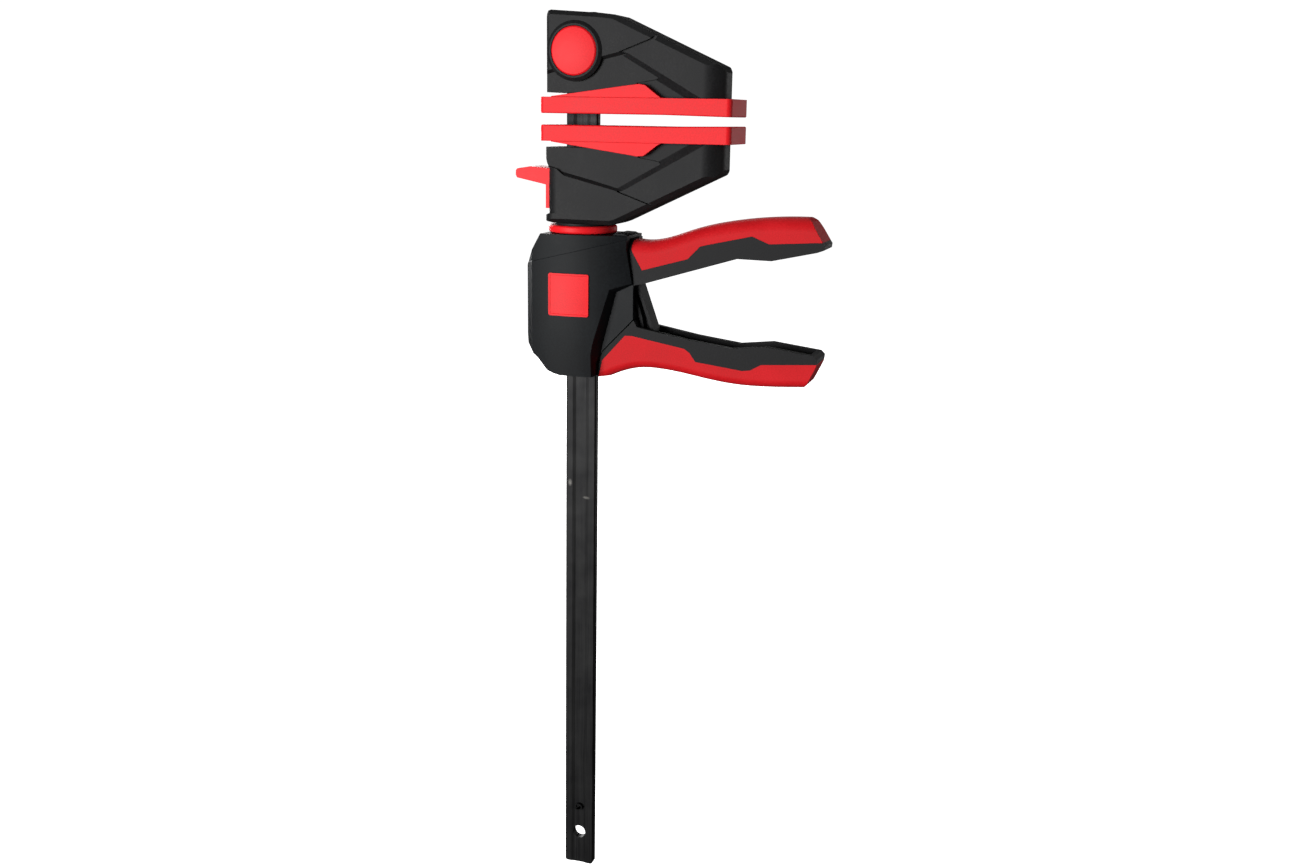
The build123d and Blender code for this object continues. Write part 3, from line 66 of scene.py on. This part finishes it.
def add_node(tree, kind, inputs=None, **settings):
    """Adds a shader node. inputs gives each socket a value or the output that feeds it."""
    made = tree.nodes.new("ShaderNode" + kind)
    for name, value in settings.items():
        setattr(made, name, value)
    for name, value in (inputs or {}).items():
        if isinstance(value, bpy.types.NodeSocket):
            tree.links.new(value, made.inputs[name])
        else:
            made.inputs[name].default_value = value
    return made


def new_material(name):
    """An empty material: its tree, its Principled shader and the object's own coordinates."""
    made = bpy.data.materials.new(name)
    made.use_nodes = True
    tree = made.node_tree
    tree.nodes.clear()
    shader = add_node(tree, "BsdfPrincipled")
    add_node(tree, "OutputMaterial", {"Surface": shader.outputs["BSDF"]})
    place = add_node(tree, "TexCoord").outputs["Object"]
    return made, tree, shader, place


def colour_stops(band, positions, colours):
    """Gives a colour ramp one hex colour at each position."""
    while len(band.elements) < len(positions):
        band.elements.new(0.5)
    for element, position, colour in zip(band.elements, positions, colours):
        element.position = position
        element.color = linear(colour)


# %% [markdown]
# ## Moulded plastics
# Nearly all of the clamp is injection moulded. A moulding copies its steel tool, and tools are
# spark eroded to a fine matt grain, which scatters the light a little and hides sink marks. A
# Noise texture in millimetres gives that grain as bump, and a larger, weaker noise gives the
# slight change of tone and gloss that handling leaves. The real grain is 0.1 to 0.3 mm wide, too
# fine to show in a render, so it is drawn about 0.8 mm wide.

# %% Function for a moulded plastic
HANDLING_WIDTH = 24.0
GRAIN_SHARE = 0.55
GRAIN_STRENGTH = 0.5
PLASTIC_TONES = (0.36, 0.5, 0.64)
PLASTIC_GLOSS_FROM = (0.35, 0.65)
PLASTIC_IOR = 1.5
RED_SCATTER = (0.8, 0.2, 0.15)
SCATTER_DEPTH = 1.2
SHEEN_ROUGHNESS = 0.5


def moulded(name, colours, grain, depth, rough, specular, soft=None, sheen=None):
    """A moulded plastic: colours are deep, middle and light, grain and depth are in mm."""
    made, tree, shader, place = new_material(name)
    fine = add_node(
        tree, "TexNoise", {"Vector": place, "Scale": 1 / (grain * MM), "Detail": 3.0}
    ).outputs["Fac"]
    broad = add_node(
        tree, "TexNoise", {"Vector": place, "Scale": 1 / (HANDLING_WIDTH * MM), "Detail": 4.0}
    ).outputs["Fac"]
    mixed = add_node(tree, "Math", {0: fine, 1: GRAIN_SHARE}, operation="MULTIPLY").outputs[0]
    mixed = add_node(
        tree, "Math", {0: broad, 1: 1 - GRAIN_SHARE, 2: mixed}, operation="MULTIPLY_ADD"
    ).outputs[0]
    tone = add_node(tree, "ValToRGB", {"Fac": mixed})
    colour_stops(tone.color_ramp, PLASTIC_TONES, colours)
    tree.links.new(tone.outputs["Color"], shader.inputs["Base Color"])
    gloss = add_node(
        tree,
        "MapRange",
        {
            "Value": mixed,
            "From Min": PLASTIC_GLOSS_FROM[0],
            "From Max": PLASTIC_GLOSS_FROM[1],
            "To Min": rough[0],
            "To Max": rough[1],
        },
    ).outputs["Result"]
    tree.links.new(gloss, shader.inputs["Roughness"])
    bump = add_node(
        tree, "Bump", {"Height": fine, "Strength": GRAIN_STRENGTH, "Distance": depth * MM}
    ).outputs["Normal"]
    tree.links.new(bump, shader.inputs["Normal"])
    shader.inputs["IOR"].default_value = PLASTIC_IOR
    shader.inputs["Specular IOR Level"].default_value = specular
    if soft:
        shader.inputs["Subsurface Weight"].default_value = soft
        shader.inputs["Subsurface Radius"].default_value = RED_SCATTER
        shader.inputs["Subsurface Scale"].default_value = SCATTER_DEPTH * MM
    if sheen:
        shader.inputs["Sheen Weight"].default_value = sheen
        shader.inputs["Sheen Roughness"].default_value = SHEEN_ROUGHNESS
    return made


# %% [markdown]
# ## The six plastics
# The jaws are glass-filled nylon, whose fibres come near the skin and leave it dull and a little
# grey. The housing is a harder satin ABS, smoother and bluer. The handle cores are nylon again.
# The reds differ too: the grips are a rubbery elastomer with a faint sheen, the pads a soft
# polyurethane that lets light in a little way, and the button, lever, collar and square plate a
# hard acetal with the sharpest gloss.

# %% The plastics
GLASS_FILLED_NYLON = moulded(
    "glass_filled_nylon_spark_eroded",
    ("#151516", "#1a1a1b", "#222223"),
    grain=0.9,
    depth=0.10,
    rough=(0.50, 0.62),
    specular=0.15,
)
SATIN_ABS = moulded(
    "abs_satin_blue_black",
    ("#0e0f11", "#121416", "#171a1c"),
    grain=1.1,
    depth=0.03,
    rough=(0.44, 0.54),
    specular=0.1,
)
HANDLE_NYLON = moulded(
    "nylon_handle_core",
    ("#141415", "#1a1a1b", "#212122"),
    grain=0.9,
    depth=0.08,
    rough=(0.50, 0.62),
    specular=0.12,
)
SOFT_GRIP = moulded(
    "soft_touch_elastomer_red",
    ("#b80d14", "#c51119", "#cf1921"),
    grain=0.8,
    depth=0.07,
    rough=(0.55, 0.66),
    specular=0.14,
    sheen=0.04,
)
PAD_PLASTIC = moulded(
    "polyurethane_pad_red",
    ("#dd141b", "#e81a22", "#f0252c"),
    grain=0.8,
    depth=0.05,
    rough=(0.46, 0.56),
    specular=0.16,
    soft=0.05,
)
HARD_RED = moulded(
    "acetal_red",
    ("#dc161d", "#e81b23", "#f0262d"),
    grain=0.7,
    depth=0.03,
    rough=(0.42, 0.52),
    specular=0.16,
)
print("plastics:", [material.name for material in bpy.data.materials])

# %% [markdown]
# ## Drawn and ground steel
# Drawing or grinding leaves fine lines that all run one way. A noise that is stretched that way
# gives the lines, and a broad even noise makes the tone cloudy. Where the coat is rubbed through,
# a scuff shows bare steel: a soft oval mask, broken up by a fine grit, mixes that colour in. A
# metal's look comes from its own colour, so the IOR is left alone.

# %% Functions for a scuff and for a steel
CLOUD_WIDTH = 14.0
STEEL_TONES = (0.35, 0.65)
STEEL_GLOSS_FROM = (0.3, 0.7)
LINE_STRENGTH = 0.35
LINE_DEPTH = 0.03
GRIT_WIDTH = 0.7
SCUFF_CORE = 0.2
BARE_STEEL = "#7b7975"


def scuff(tree, place, centre, reach):
    """A mask about a centre, broken up by a fine grit; centre and reach are in mm."""
    shift = [-c / r for c, r in zip(centre, reach)]
    scale = [1 / (r * MM) for r in reach]
    moved = add_node(
        tree, "Mapping", {"Vector": place, "Location": shift, "Scale": scale}
    ).outputs["Vector"]
    away = add_node(tree, "VectorMath", {0: moved}, operation="LENGTH").outputs["Value"]
    near = add_node(
        tree,
        "MapRange",
        {"Value": away, "From Min": SCUFF_CORE, "From Max": 1.0, "To Min": 1.0, "To Max": 0.0},
    ).outputs["Result"]
    grit = add_node(
        tree, "TexNoise", {"Vector": place, "Scale": 1 / (GRIT_WIDTH * MM)}
    ).outputs["Fac"]
    return add_node(tree, "Math", {0: near, 1: grit}, operation="MULTIPLY").outputs[0]


def steel(name, tones, rough, stretch, lines, scuffs=()):
    """A steel with lines of a width in mm along one axis; scuffs are (centre, reach)."""
    made, tree, shader, place = new_material(name)
    shader.inputs["Metallic"].default_value = 1.0
    squeezed = add_node(tree, "Mapping", {"Vector": place, "Scale": stretch}).outputs["Vector"]
    streak = add_node(
        tree, "TexNoise", {"Vector": squeezed, "Scale": 1 / (lines * MM), "Detail": 4.0}
    ).outputs["Fac"]
    cloud = add_node(
        tree, "TexNoise", {"Vector": place, "Scale": 1 / (CLOUD_WIDTH * MM), "Detail": 5.0}
    ).outputs["Fac"]
    mixed = add_node(tree, "Math", {0: streak, 1: cloud}, operation="ADD").outputs[0]
    mixed = add_node(tree, "Math", {0: mixed, 1: 0.5}, operation="MULTIPLY").outputs[0]
    band = add_node(tree, "ValToRGB", {"Fac": mixed})
    colour_stops(band.color_ramp, STEEL_TONES, tones)
    tone = band.outputs["Color"]
    for centre, reach in scuffs:
        bare = scuff(tree, place, centre, reach)
        tone = add_node(
            tree, "Mix", {0: bare, 6: tone, 7: linear(BARE_STEEL)}, data_type="RGBA"
        ).outputs[2]
    tree.links.new(tone, shader.inputs["Base Color"])
    gloss = add_node(
        tree,
        "MapRange",
        {
            "Value": streak,
            "From Min": STEEL_GLOSS_FROM[0],
            "From Max": STEEL_GLOSS_FROM[1],
            "To Min": rough[0],
            "To Max": rough[1],
        },
    ).outputs["Result"]
    tree.links.new(gloss, shader.inputs["Roughness"])
    bump = add_node(
        tree, "Bump", {"Height": streak, "Strength": LINE_STRENGTH, "Distance": LINE_DEPTH * MM}
    ).outputs["Normal"]
    tree.links.new(bump, shader.inputs["Normal"])
    return made


# %% [markdown]
# ## The four steels
# The bar is cold drawn along its length and then blackened, which leaves a thin matt oxide over
# the metal; two small scuffs show where the coat is through. The plates and pins are ground
# across, and bright. Springs are coiled from hard drawn wire and left dull. Screws are zinc
# plated, which is the lightest of the four.

# %% The steels
ALONG_Z = (1.0, 1.0, 0.02)
ALONG_Y = (1.0, 0.05, 1.0)
EVEN = (1.0, 1.0, 1.0)
SCUFFS = (((-6.9, -2.7, 239.0), (1.6, 3.0, 2.6)), ((3.8, -2.7, 230.0), (2.8, 3.0, 1.1)))
BLACKENED_STEEL = steel(
    "blackened_drawn_steel", ("#1f1f20", "#2f2f2f"), (0.46, 0.62), ALONG_Z, 0.9, SCUFFS
)
GROUND_STEEL = steel("ground_steel", ("#8f8d8a", "#b4b1ad"), (0.25, 0.38), ALONG_Y, 0.6)
SPRING_WIRE = steel("patented_spring_wire", ("#55524f", "#77736f"), (0.3, 0.42), EVEN, 0.8)
ZINC_STEEL = steel("zinc_plated_steel", ("#b9bcc0", "#d2d4d6"), (0.22, 0.34), EVEN, 0.7)
print("steels:", [made.name for made in (BLACKENED_STEEL, GROUND_STEEL, SPRING_WIRE, ZINC_STEEL)])

# %% [markdown]
# ## Copies that stand for a solid
# A solid of the frame is loose triangles and stays as it was packed. What has to be shaped is
# copied first, and the copy's triangles are merged, so that edit mode and modifiers see whole
# surfaces. The finished copy then rides on the solid's body and is shown in its place.

# %% Functions that copy a solid and put the copy in its place
MERGE_DISTANCE = 0.002


def merged_copy(node, name, flat_angle=None):
    """A copy of a CAD node with its triangles joined, and its flats too if given an angle."""
    bpy.ops.object.select_all(action="DESELECT")
    made = bpy.data.objects.new(name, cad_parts[node].data.copy())
    bpy.context.scene.collection.objects.link(made)
    made.select_set(True)
    bpy.context.view_layer.objects.active = made
    bpy.ops.object.mode_set(mode="EDIT")
    bpy.ops.mesh.select_all(action="SELECT")
    bpy.ops.mesh.remove_doubles(threshold=MERGE_DISTANCE * MM)
    if flat_angle:
        bpy.ops.mesh.dissolve_limited(angle_limit=radians(flat_angle))
    bpy.ops.mesh.customdata_custom_splitnormals_clear()
    bpy.ops.object.mode_set(mode="OBJECT")
    return made


def stand_for(piece, node, body, material):
    """Gives a copy its material and its body, and shows it instead of the node."""
    piece.data.materials.clear()
    piece.data.materials.append(material)
    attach(piece, body)
    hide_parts(node)


# %% [markdown]
# ## Moulded edges
# No moulding has a knife edge: the tool's corners are rounded, and the round is what catches the
# light. A Bevel modifier rounds each sharp edge of the copy. Edges could be picked and beveled by
# hand, but an angle limit finds them all at once. A Weighted Normal modifier then lets the large
# faces set the shading, so that flats stay flat up to their rounds.

# %% Function that rounds the edges of a solid
FLAT_ANGLE = 1.0
EDGE_ANGLE = 28
EDGE_SEGMENTS = 3
SMOOTH_ANGLE = 32
FLAT_WEIGHT = 80


def rounded(node, body, material, width, shape=None):
    """A copy of a CAD node with rounded edges, which stands for it. shape works on it first."""
    piece = merged_copy(node, node + "_moulding", FLAT_ANGLE)
    if shape:
        shape(piece)
    bevel = piece.modifiers.new("edges", "BEVEL")
    bevel.width = width * MM
    bevel.segments = EDGE_SEGMENTS
    bevel.limit_method = "ANGLE"
    bevel.angle_limit = radians(EDGE_ANGLE)
    bevel.miter_outer = "MITER_ARC"
    bpy.ops.object.modifier_apply(modifier="edges")
    bpy.ops.object.shade_smooth_by_angle(angle=radians(SMOOTH_ANGLE))
    flats = piece.modifiers.new("flats", "WEIGHTED_NORMAL")
    flats.weight = FLAT_WEIGHT
    flats.keep_sharp = True
    bpy.ops.object.modifier_apply(modifier="flats")
    stand_for(piece, node, body, material)
    print(piece.name, len(piece.data.polygons), "faces")


# %% [markdown]
# ## Picking faces and edges
# Four mouldings are shaped in edit mode before their edges are rounded: both halves of the
# housing, the square plate and the pump lever. Edges and faces are picked in code, by their place
# or the way they face, on the mesh itself. Edit mode then opens with that choice, as if each had
# been clicked.


# %% Functions for a selection
def clear_selection(mesh):
    """Deselects every vertex, edge and face of a mesh."""
    for group in (mesh.vertices, mesh.edges, mesh.polygons):
        group.foreach_set("select", [False] * len(group))


def edit_selected(piece, mode):
    """Opens a piece in edit mode with what is selected in its mesh."""
    bpy.context.view_layer.objects.active = piece
    bpy.ops.object.mode_set(mode="EDIT")
    bpy.ops.mesh.select_mode(type=mode)


# %% [markdown]
# ## The housing's shoulder
# The housing has a raised waist below its sloping shoulder. The step between them is not a sharp
# shelf: the tool maker broke it with a broad 45 degree chamfer, which reads as a dark line. The
# line runs across the housing at a height that is known at four points. Its edges are the ones
# on that line that belong to the wall below it, and a bevel of one segment makes the chamfer.

# %% Function that chamfers the shoulder
SHOULDER = ((-40.0, 373.5), (-24.5, 377.3), (31.5, 391.4), (50.0, 396.0))
SHOULDER_CHAMFER = 1.15
WALL_LEAN = 0.3
WALL_BELOW = 0.3
LINE_TOLERANCE = 0.06


def shoulder_height(x):
    """Height of the housing's shoulder line at an x, both in mm."""
    for (x1, z1), (x2, z2) in zip(SHOULDER, SHOULDER[1:]):
        if x <= x2:
            return z1 + (z2 - z1) * (x - x1) / (x2 - x1)
    return SHOULDER[-1][1]


def chamfer_shoulder(piece):
    """Breaks the edge where the shoulder's step meets the wall below it."""
    mesh = piece.data
    clear_selection(mesh)
    wall_edges = set()
    for face in mesh.polygons:
        x, z = face.center.x / MM, face.center.z / MM
        if abs(face.normal.z) < WALL_LEAN and z < shoulder_height(x) - WALL_BELOW:
            wall_edges.update(face.edge_keys)
    on_line = [
        abs(vertex.co.z / MM - shoulder_height(vertex.co.x / MM)) < LINE_TOLERANCE
        for vertex in mesh.vertices
    ]
    picked = 0
    for edge in mesh.edges:
        if edge.key in wall_edges and all(on_line[index] for index in edge.vertices):
            edge.select = True
            picked += 1
    edit_selected(piece, "EDGE")
    bpy.ops.mesh.bevel(offset=SHOULDER_CHAMFER * MM, segments=1, clamp_overlap=True)
    bpy.ops.object.mode_set(mode="OBJECT")
    print("shoulder edges:", picked)


# %% [markdown]
# ## The square plate
# The plate on the housing is a moulding of its own, with a flat rim and a field sunk a quarter of
# a millimetre inside it. One inset draws the rim and a second one sinks the field. The plate is
# slightly curved and made of narrow faces, so the even offset is off, because it would throw
# spikes where they meet.

# %% Function that sinks the plate's field
PLATE_FACING = 0.97
PLATE_RIM = 1.0
PLATE_FIELD = 0.25


def sink_field(piece):
    """Insets the plate's front and sinks the field inside its rim."""
    mesh = piece.data
    clear_selection(mesh)
    for face in mesh.polygons:
        face.select = face.normal.y < -PLATE_FACING
    edit_selected(piece, "FACE")
    bpy.ops.mesh.inset(thickness=PLATE_RIM * MM, depth=0, use_even_offset=False)
    bpy.ops.mesh.inset(
        thickness=PLATE_FIELD * MM, depth=-PLATE_FIELD * MM, use_even_offset=False
    )
    bpy.ops.object.mode_set(mode="OBJECT")
    print("plate faces:", len(mesh.polygons))


# %% [markdown]
# ## The lever's web
# A thick web would sink as it cools, so the tool leaves a pocket in each side of it and a rib
# all round. The web's two large side faces are picked by their place, their size and the way
# they face. One inset leaves the rib, and a second one sinks the pocket with a little draft, so
# that the real piece could leave its tool.

# %% Function that pockets the web
WEB_X = (22.0, 48.0)
WEB_Z = (336.0, 369.0)
WEB_HALF_WIDTH = 7.0
WEB_FACING = 0.99
WEB_SMALLEST_AREA = 100.0
WEB_RIB = 1.7
WEB_POCKET = 4.0
WEB_DRAFT = 0.6


def pocket_web(piece):
    """Sinks a pocket in each side of the lever's web, which leaves a rib round it."""
    mesh = piece.data
    clear_selection(mesh)
    picked = 0
    for face in mesh.polygons:
        x, y, z = face.center / MM
        in_web = WEB_X[0] < x < WEB_X[1] and WEB_Z[0] < z < WEB_Z[1]
        large = face.area > WEB_SMALLEST_AREA * MM * MM
        if in_web and large and abs(y) < WEB_HALF_WIDTH and abs(face.normal.y) > WEB_FACING:
            face.select = True
            picked += 1
    edit_selected(piece, "FACE")
    bpy.ops.mesh.inset(thickness=WEB_RIB * MM, depth=0, use_individual=True)
    bpy.ops.mesh.inset(thickness=WEB_DRAFT * MM, depth=-WEB_POCKET * MM, use_individual=True)
    bpy.ops.object.mode_set(mode="OBJECT")
    print("web faces:", picked)


# %% [markdown]
# ## The mouldings
# Each row is one moulding: its solid, the body that it rides on, its material slot, its finish
# and how wide its edges are rounded, in mm. The big jaws have the broadest rounds of the hard
# plastics, small pieces have finer ones, and the soft covers are the roundest of all.

# %% The mouldings
SHAPES = {
    "housing_near": chamfer_shoulder,
    "housing_far": chamfer_shoulder,
    "badge_plate": sink_field,
    "pump_lever": pocket_web,
}
MOULDINGS = [
    ("fixed_jaw", "rail", "black_nylon", GLASS_FILLED_NYLON, 0.7),
    ("moving_jaw", "carriage", "black_nylon", GLASS_FILLED_NYLON, 0.7),
    ("fixed_pad", "rail", "red_pad", PAD_PLASTIC, 0.5),
    ("moving_pad", "carriage", "red_pad", PAD_PLASTIC, 0.5),
    ("release_button", "button", "red_plastic", HARD_RED, 0.3),
    ("release_lever", "release_lever", "red_plastic", HARD_RED, 0.5),
    ("collar_ring", "carriage", "red_plastic", HARD_RED, 0.3),
    ("housing_near", "handle", "housing_black", SATIN_ABS, 0.5),
    ("housing_far", "handle", "housing_black", SATIN_ABS, 0.5),
    ("badge_plate", "handle", "red_plastic", HARD_RED, 0.25),
    ("grip_core", "handle", "handle_black", HANDLE_NYLON, 0.5),
    ("grip_cover", "handle", "soft_red", SOFT_GRIP, 0.8),
    ("pump_lever", "pump_lever", "handle_black", HANDLE_NYLON, 0.5),
    ("lever_cover", "pump_lever", "soft_red", SOFT_GRIP, 0.8),
]
for node, body, slot, material, width in MOULDINGS:
    rounded(node, body, material, width, SHAPES.get(node))

# %% [markdown]
# ## The metal pieces and the hidden plastics
# The bar, pins, plates and screws already have their real form as solids, and so have the neck
# and the bush inside the handle. They are shown as they are, so they only need a finish.

# %% The metal pieces and the hidden plastics
FINISHES = [
    (BLACKENED_STEEL, ("rail", "stop_pin")),
    (GROUND_STEEL, ("latch_bolt", "brake_plates", "brake_pin", "pivot_pin")),
    (GROUND_STEEL, ("drive_carrier", "drive_plates", "spring_seat")),
    (SPRING_WIRE, ("button_spring",)),
    (ZINC_STEEL, ("neck_screws", "housing_screws")),
    (GLASS_FILLED_NYLON, ("swivel_neck", "guide_bush")),
]
for material, nodes in FINISHES:
    for node in nodes:
        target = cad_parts[node]
        target.data.materials.clear()
        target.data.materials.append(material)
    print(material.name, "on", *nodes)

# %% [markdown]
# ## Two working springs
# Two of the springs are pressed while the clamp works: the brake spring under the brake plates,
# and the return spring under the seat of the drive plates. In the clamp each keeps its lower end
# still and closes up towards it as its joint moves; here a smooth copy of each stands for it on
# the carriage and keeps its length. Each row gives the spring, its joint, the height of its still
# end and the length that it gives, in mm.

# %% The two working springs
COIL_SMOOTH_ANGLE = 40
WORKING_SPRINGS = [
    ("brake_spring", "release_press", 412.9, 2.0),
    ("return_spring", "drive_stroke", 316.5, 5.8),
]
for node, joint, fixed_end, gives in WORKING_SPRINGS:
    coil = merged_copy(node, node + "_coil")
    bpy.ops.object.shade_smooth_by_angle(angle=radians(COIL_SMOOTH_ANGLE))
    stand_for(coil, node, "carriage", SPRING_WIRE)
    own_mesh(coil)

# %% [markdown]
# ## Camera
# The camera stands in front of the clamp, a little to the right and above its middle, and looks
# slightly down. Three angles turn it: azimuth round the bar, elevation above the floor, and a
# roll of one degree. Its three axes are worked out from them and become the columns of a matrix,
# which holds the place and the turn in a single setting.

# %% The camera
CAMERA_PLACE = Vector((0.28533, -0.75701, 0.46205))
AZIMUTH, ELEVATION, ROLL = radians(17.6), radians(13.33), radians(0.97)
FOCAL_LENGTH = 37.13
SENSOR_WIDTH = 36.0
back = Vector(
    (sin(AZIMUTH) * cos(ELEVATION), -cos(AZIMUTH) * cos(ELEVATION), sin(ELEVATION))
)
right = Vector((cos(AZIMUTH), sin(AZIMUTH), 0))
up = back.cross(right)
across = right * cos(ROLL) + up * sin(ROLL)
upward = up * cos(ROLL) - right * sin(ROLL)
lens = bpy.data.cameras.new("camera")
lens.lens = FOCAL_LENGTH
lens.sensor_width = SENSOR_WIDTH
camera = bpy.data.objects.new("camera", lens)
turn = Matrix((across, upward, back)).transposed()
camera.matrix_world = Matrix.Translation(CAMERA_PLACE) @ turn.to_4x4()
bpy.context.scene.collection.objects.link(camera)
bpy.context.scene.camera = camera
print("camera", FOCAL_LENGTH, "mm lens, aimed along", [round(-part, 3) for part in back])

# %% [markdown]
# ## Paper sweep
# A product is shot on white paper. One large plane below the clamp is enough, because it runs out
# of sight on all sides. It glows a little, so that it stays white under the soft lights, and it
# is hidden from bounced light and reflections, so that it doesn't wash out the black plastics.

# %% The paper
FLOOR_HEIGHT = -0.14
PAPER_MIDDLE = 1.0
PAPER_SIZE = (12, 8)
PAPER_ROUGHNESS = 0.9
PAPER_GLOW = 1.1
bpy.ops.object.select_all(action="DESELECT")
bpy.ops.mesh.primitive_plane_add(size=1, location=(0, PAPER_MIDDLE, FLOOR_HEIGHT))
sweep = bpy.context.object
sweep.name = "studio_sweep"
sweep.scale = (*PAPER_SIZE, 1)
bpy.ops.object.transform_apply(scale=True)
paper, tree, shader, _ = new_material("matt_white_paper")
shader.inputs["Base Color"].default_value = linear("#f6f6f6")
shader.inputs["Roughness"].default_value = PAPER_ROUGHNESS
shader.inputs["Emission Color"].default_value = linear("#ffffff")
shader.inputs["Emission Strength"].default_value = PAPER_GLOW
sweep.data.materials.append(paper)
sweep.visible_diffuse = False
sweep.visible_glossy = False
print("paper", *PAPER_SIZE, "m, at height", FLOOR_HEIGHT)

# %% [markdown]
# ## World
# The camera sees a white world behind the clamp, while the clamp itself is lit by a very dim one,
# which keeps the unlit sides nearly black. A Light Path node tells the two apart.

# %% The world
WHITE_SEEN = 1.05
DIM_FILL = 0.04
world = bpy.data.worlds.new("studio")
bpy.context.scene.world = world
world.use_nodes = True
tree = world.node_tree
tree.nodes.clear()
seen = add_node(tree, "LightPath").outputs["Is Camera Ray"]
bright = add_node(tree, "Background", {"Color": linear("#ffffff"), "Strength": WHITE_SEEN})
dim = add_node(tree, "Background", {"Color": linear("#ffffff"), "Strength": DIM_FILL})
both = add_node(
    tree, "MixShader", {0: seen, 1: dim.outputs["Background"], 2: bright.outputs["Background"]}
)
add_node(tree, "OutputWorld", {"Surface": both.outputs["Shader"]})
print("world:", WHITE_SEEN, "to the camera,", DIM_FILL, "to the clamp")

# %% [markdown]
# ## Soft boxes
# Broad lamps give black plastic wide, quiet highlights instead of dots. The key stands in front
# and to the left and lights the sides that face the camera, with a weak lamp at the front to fill
# it. A strong one behind lights the far side, for the views from there. Weak ones at the edge and
# at the side open up the end faces, and the one above is weak, so that the tops stay dark.

# %% The lights
LIGHTS = [
    ("key", 0.36, -25, 2, 2.4, (1.1, 1.0), 72),
    ("front", 0.30, 4, 2, 2.6, (1.2, 1.6), 4),
    ("back", 0.36, 218, 12, 2.6, (1.3, 1.6), 55),
    ("edge", 0.36, 156, -2, 2.6, (0.6, 1.6), 7),
    ("side", 0.36, 97, 12, 2.6, (1.3, 1.6), 9),
    ("above", 0.36, 150, 74, 2.2, (0.8, 0.8), 5),
]


def soft_box(name, height, azimuth, elevation, distance, size, power):
    """A soft box aimed at a height on the bar, from a direction in degrees, in m and W."""
    turned, raised = radians(azimuth), radians(elevation)
    toward = Vector((sin(turned) * cos(raised), -cos(turned) * cos(raised), sin(raised)))
    lamp = bpy.data.lights.new(name, "AREA")
    lamp.shape = "RECTANGLE"
    lamp.size, lamp.size_y = size
    lamp.energy = power
    made = bpy.data.objects.new(name, lamp)
    made.location = Vector((0.0, 0.0, height)) + toward * distance
    made.rotation_euler = (-toward).to_track_quat("-Z", "Y").to_euler()
    bpy.context.scene.collection.objects.link(made)


for light in LIGHTS:
    soft_box(*light)
print("lights:", [light[0] for light in LIGHTS])

# %% [markdown]
# ## Colours
# The Standard view transform shows the colours as they were chosen, where a film-like one would
# dull the reds.

# %% Colours
scene = bpy.context.scene
scene.view_settings.view_transform = "Standard"
scene.view_settings.look = "None"
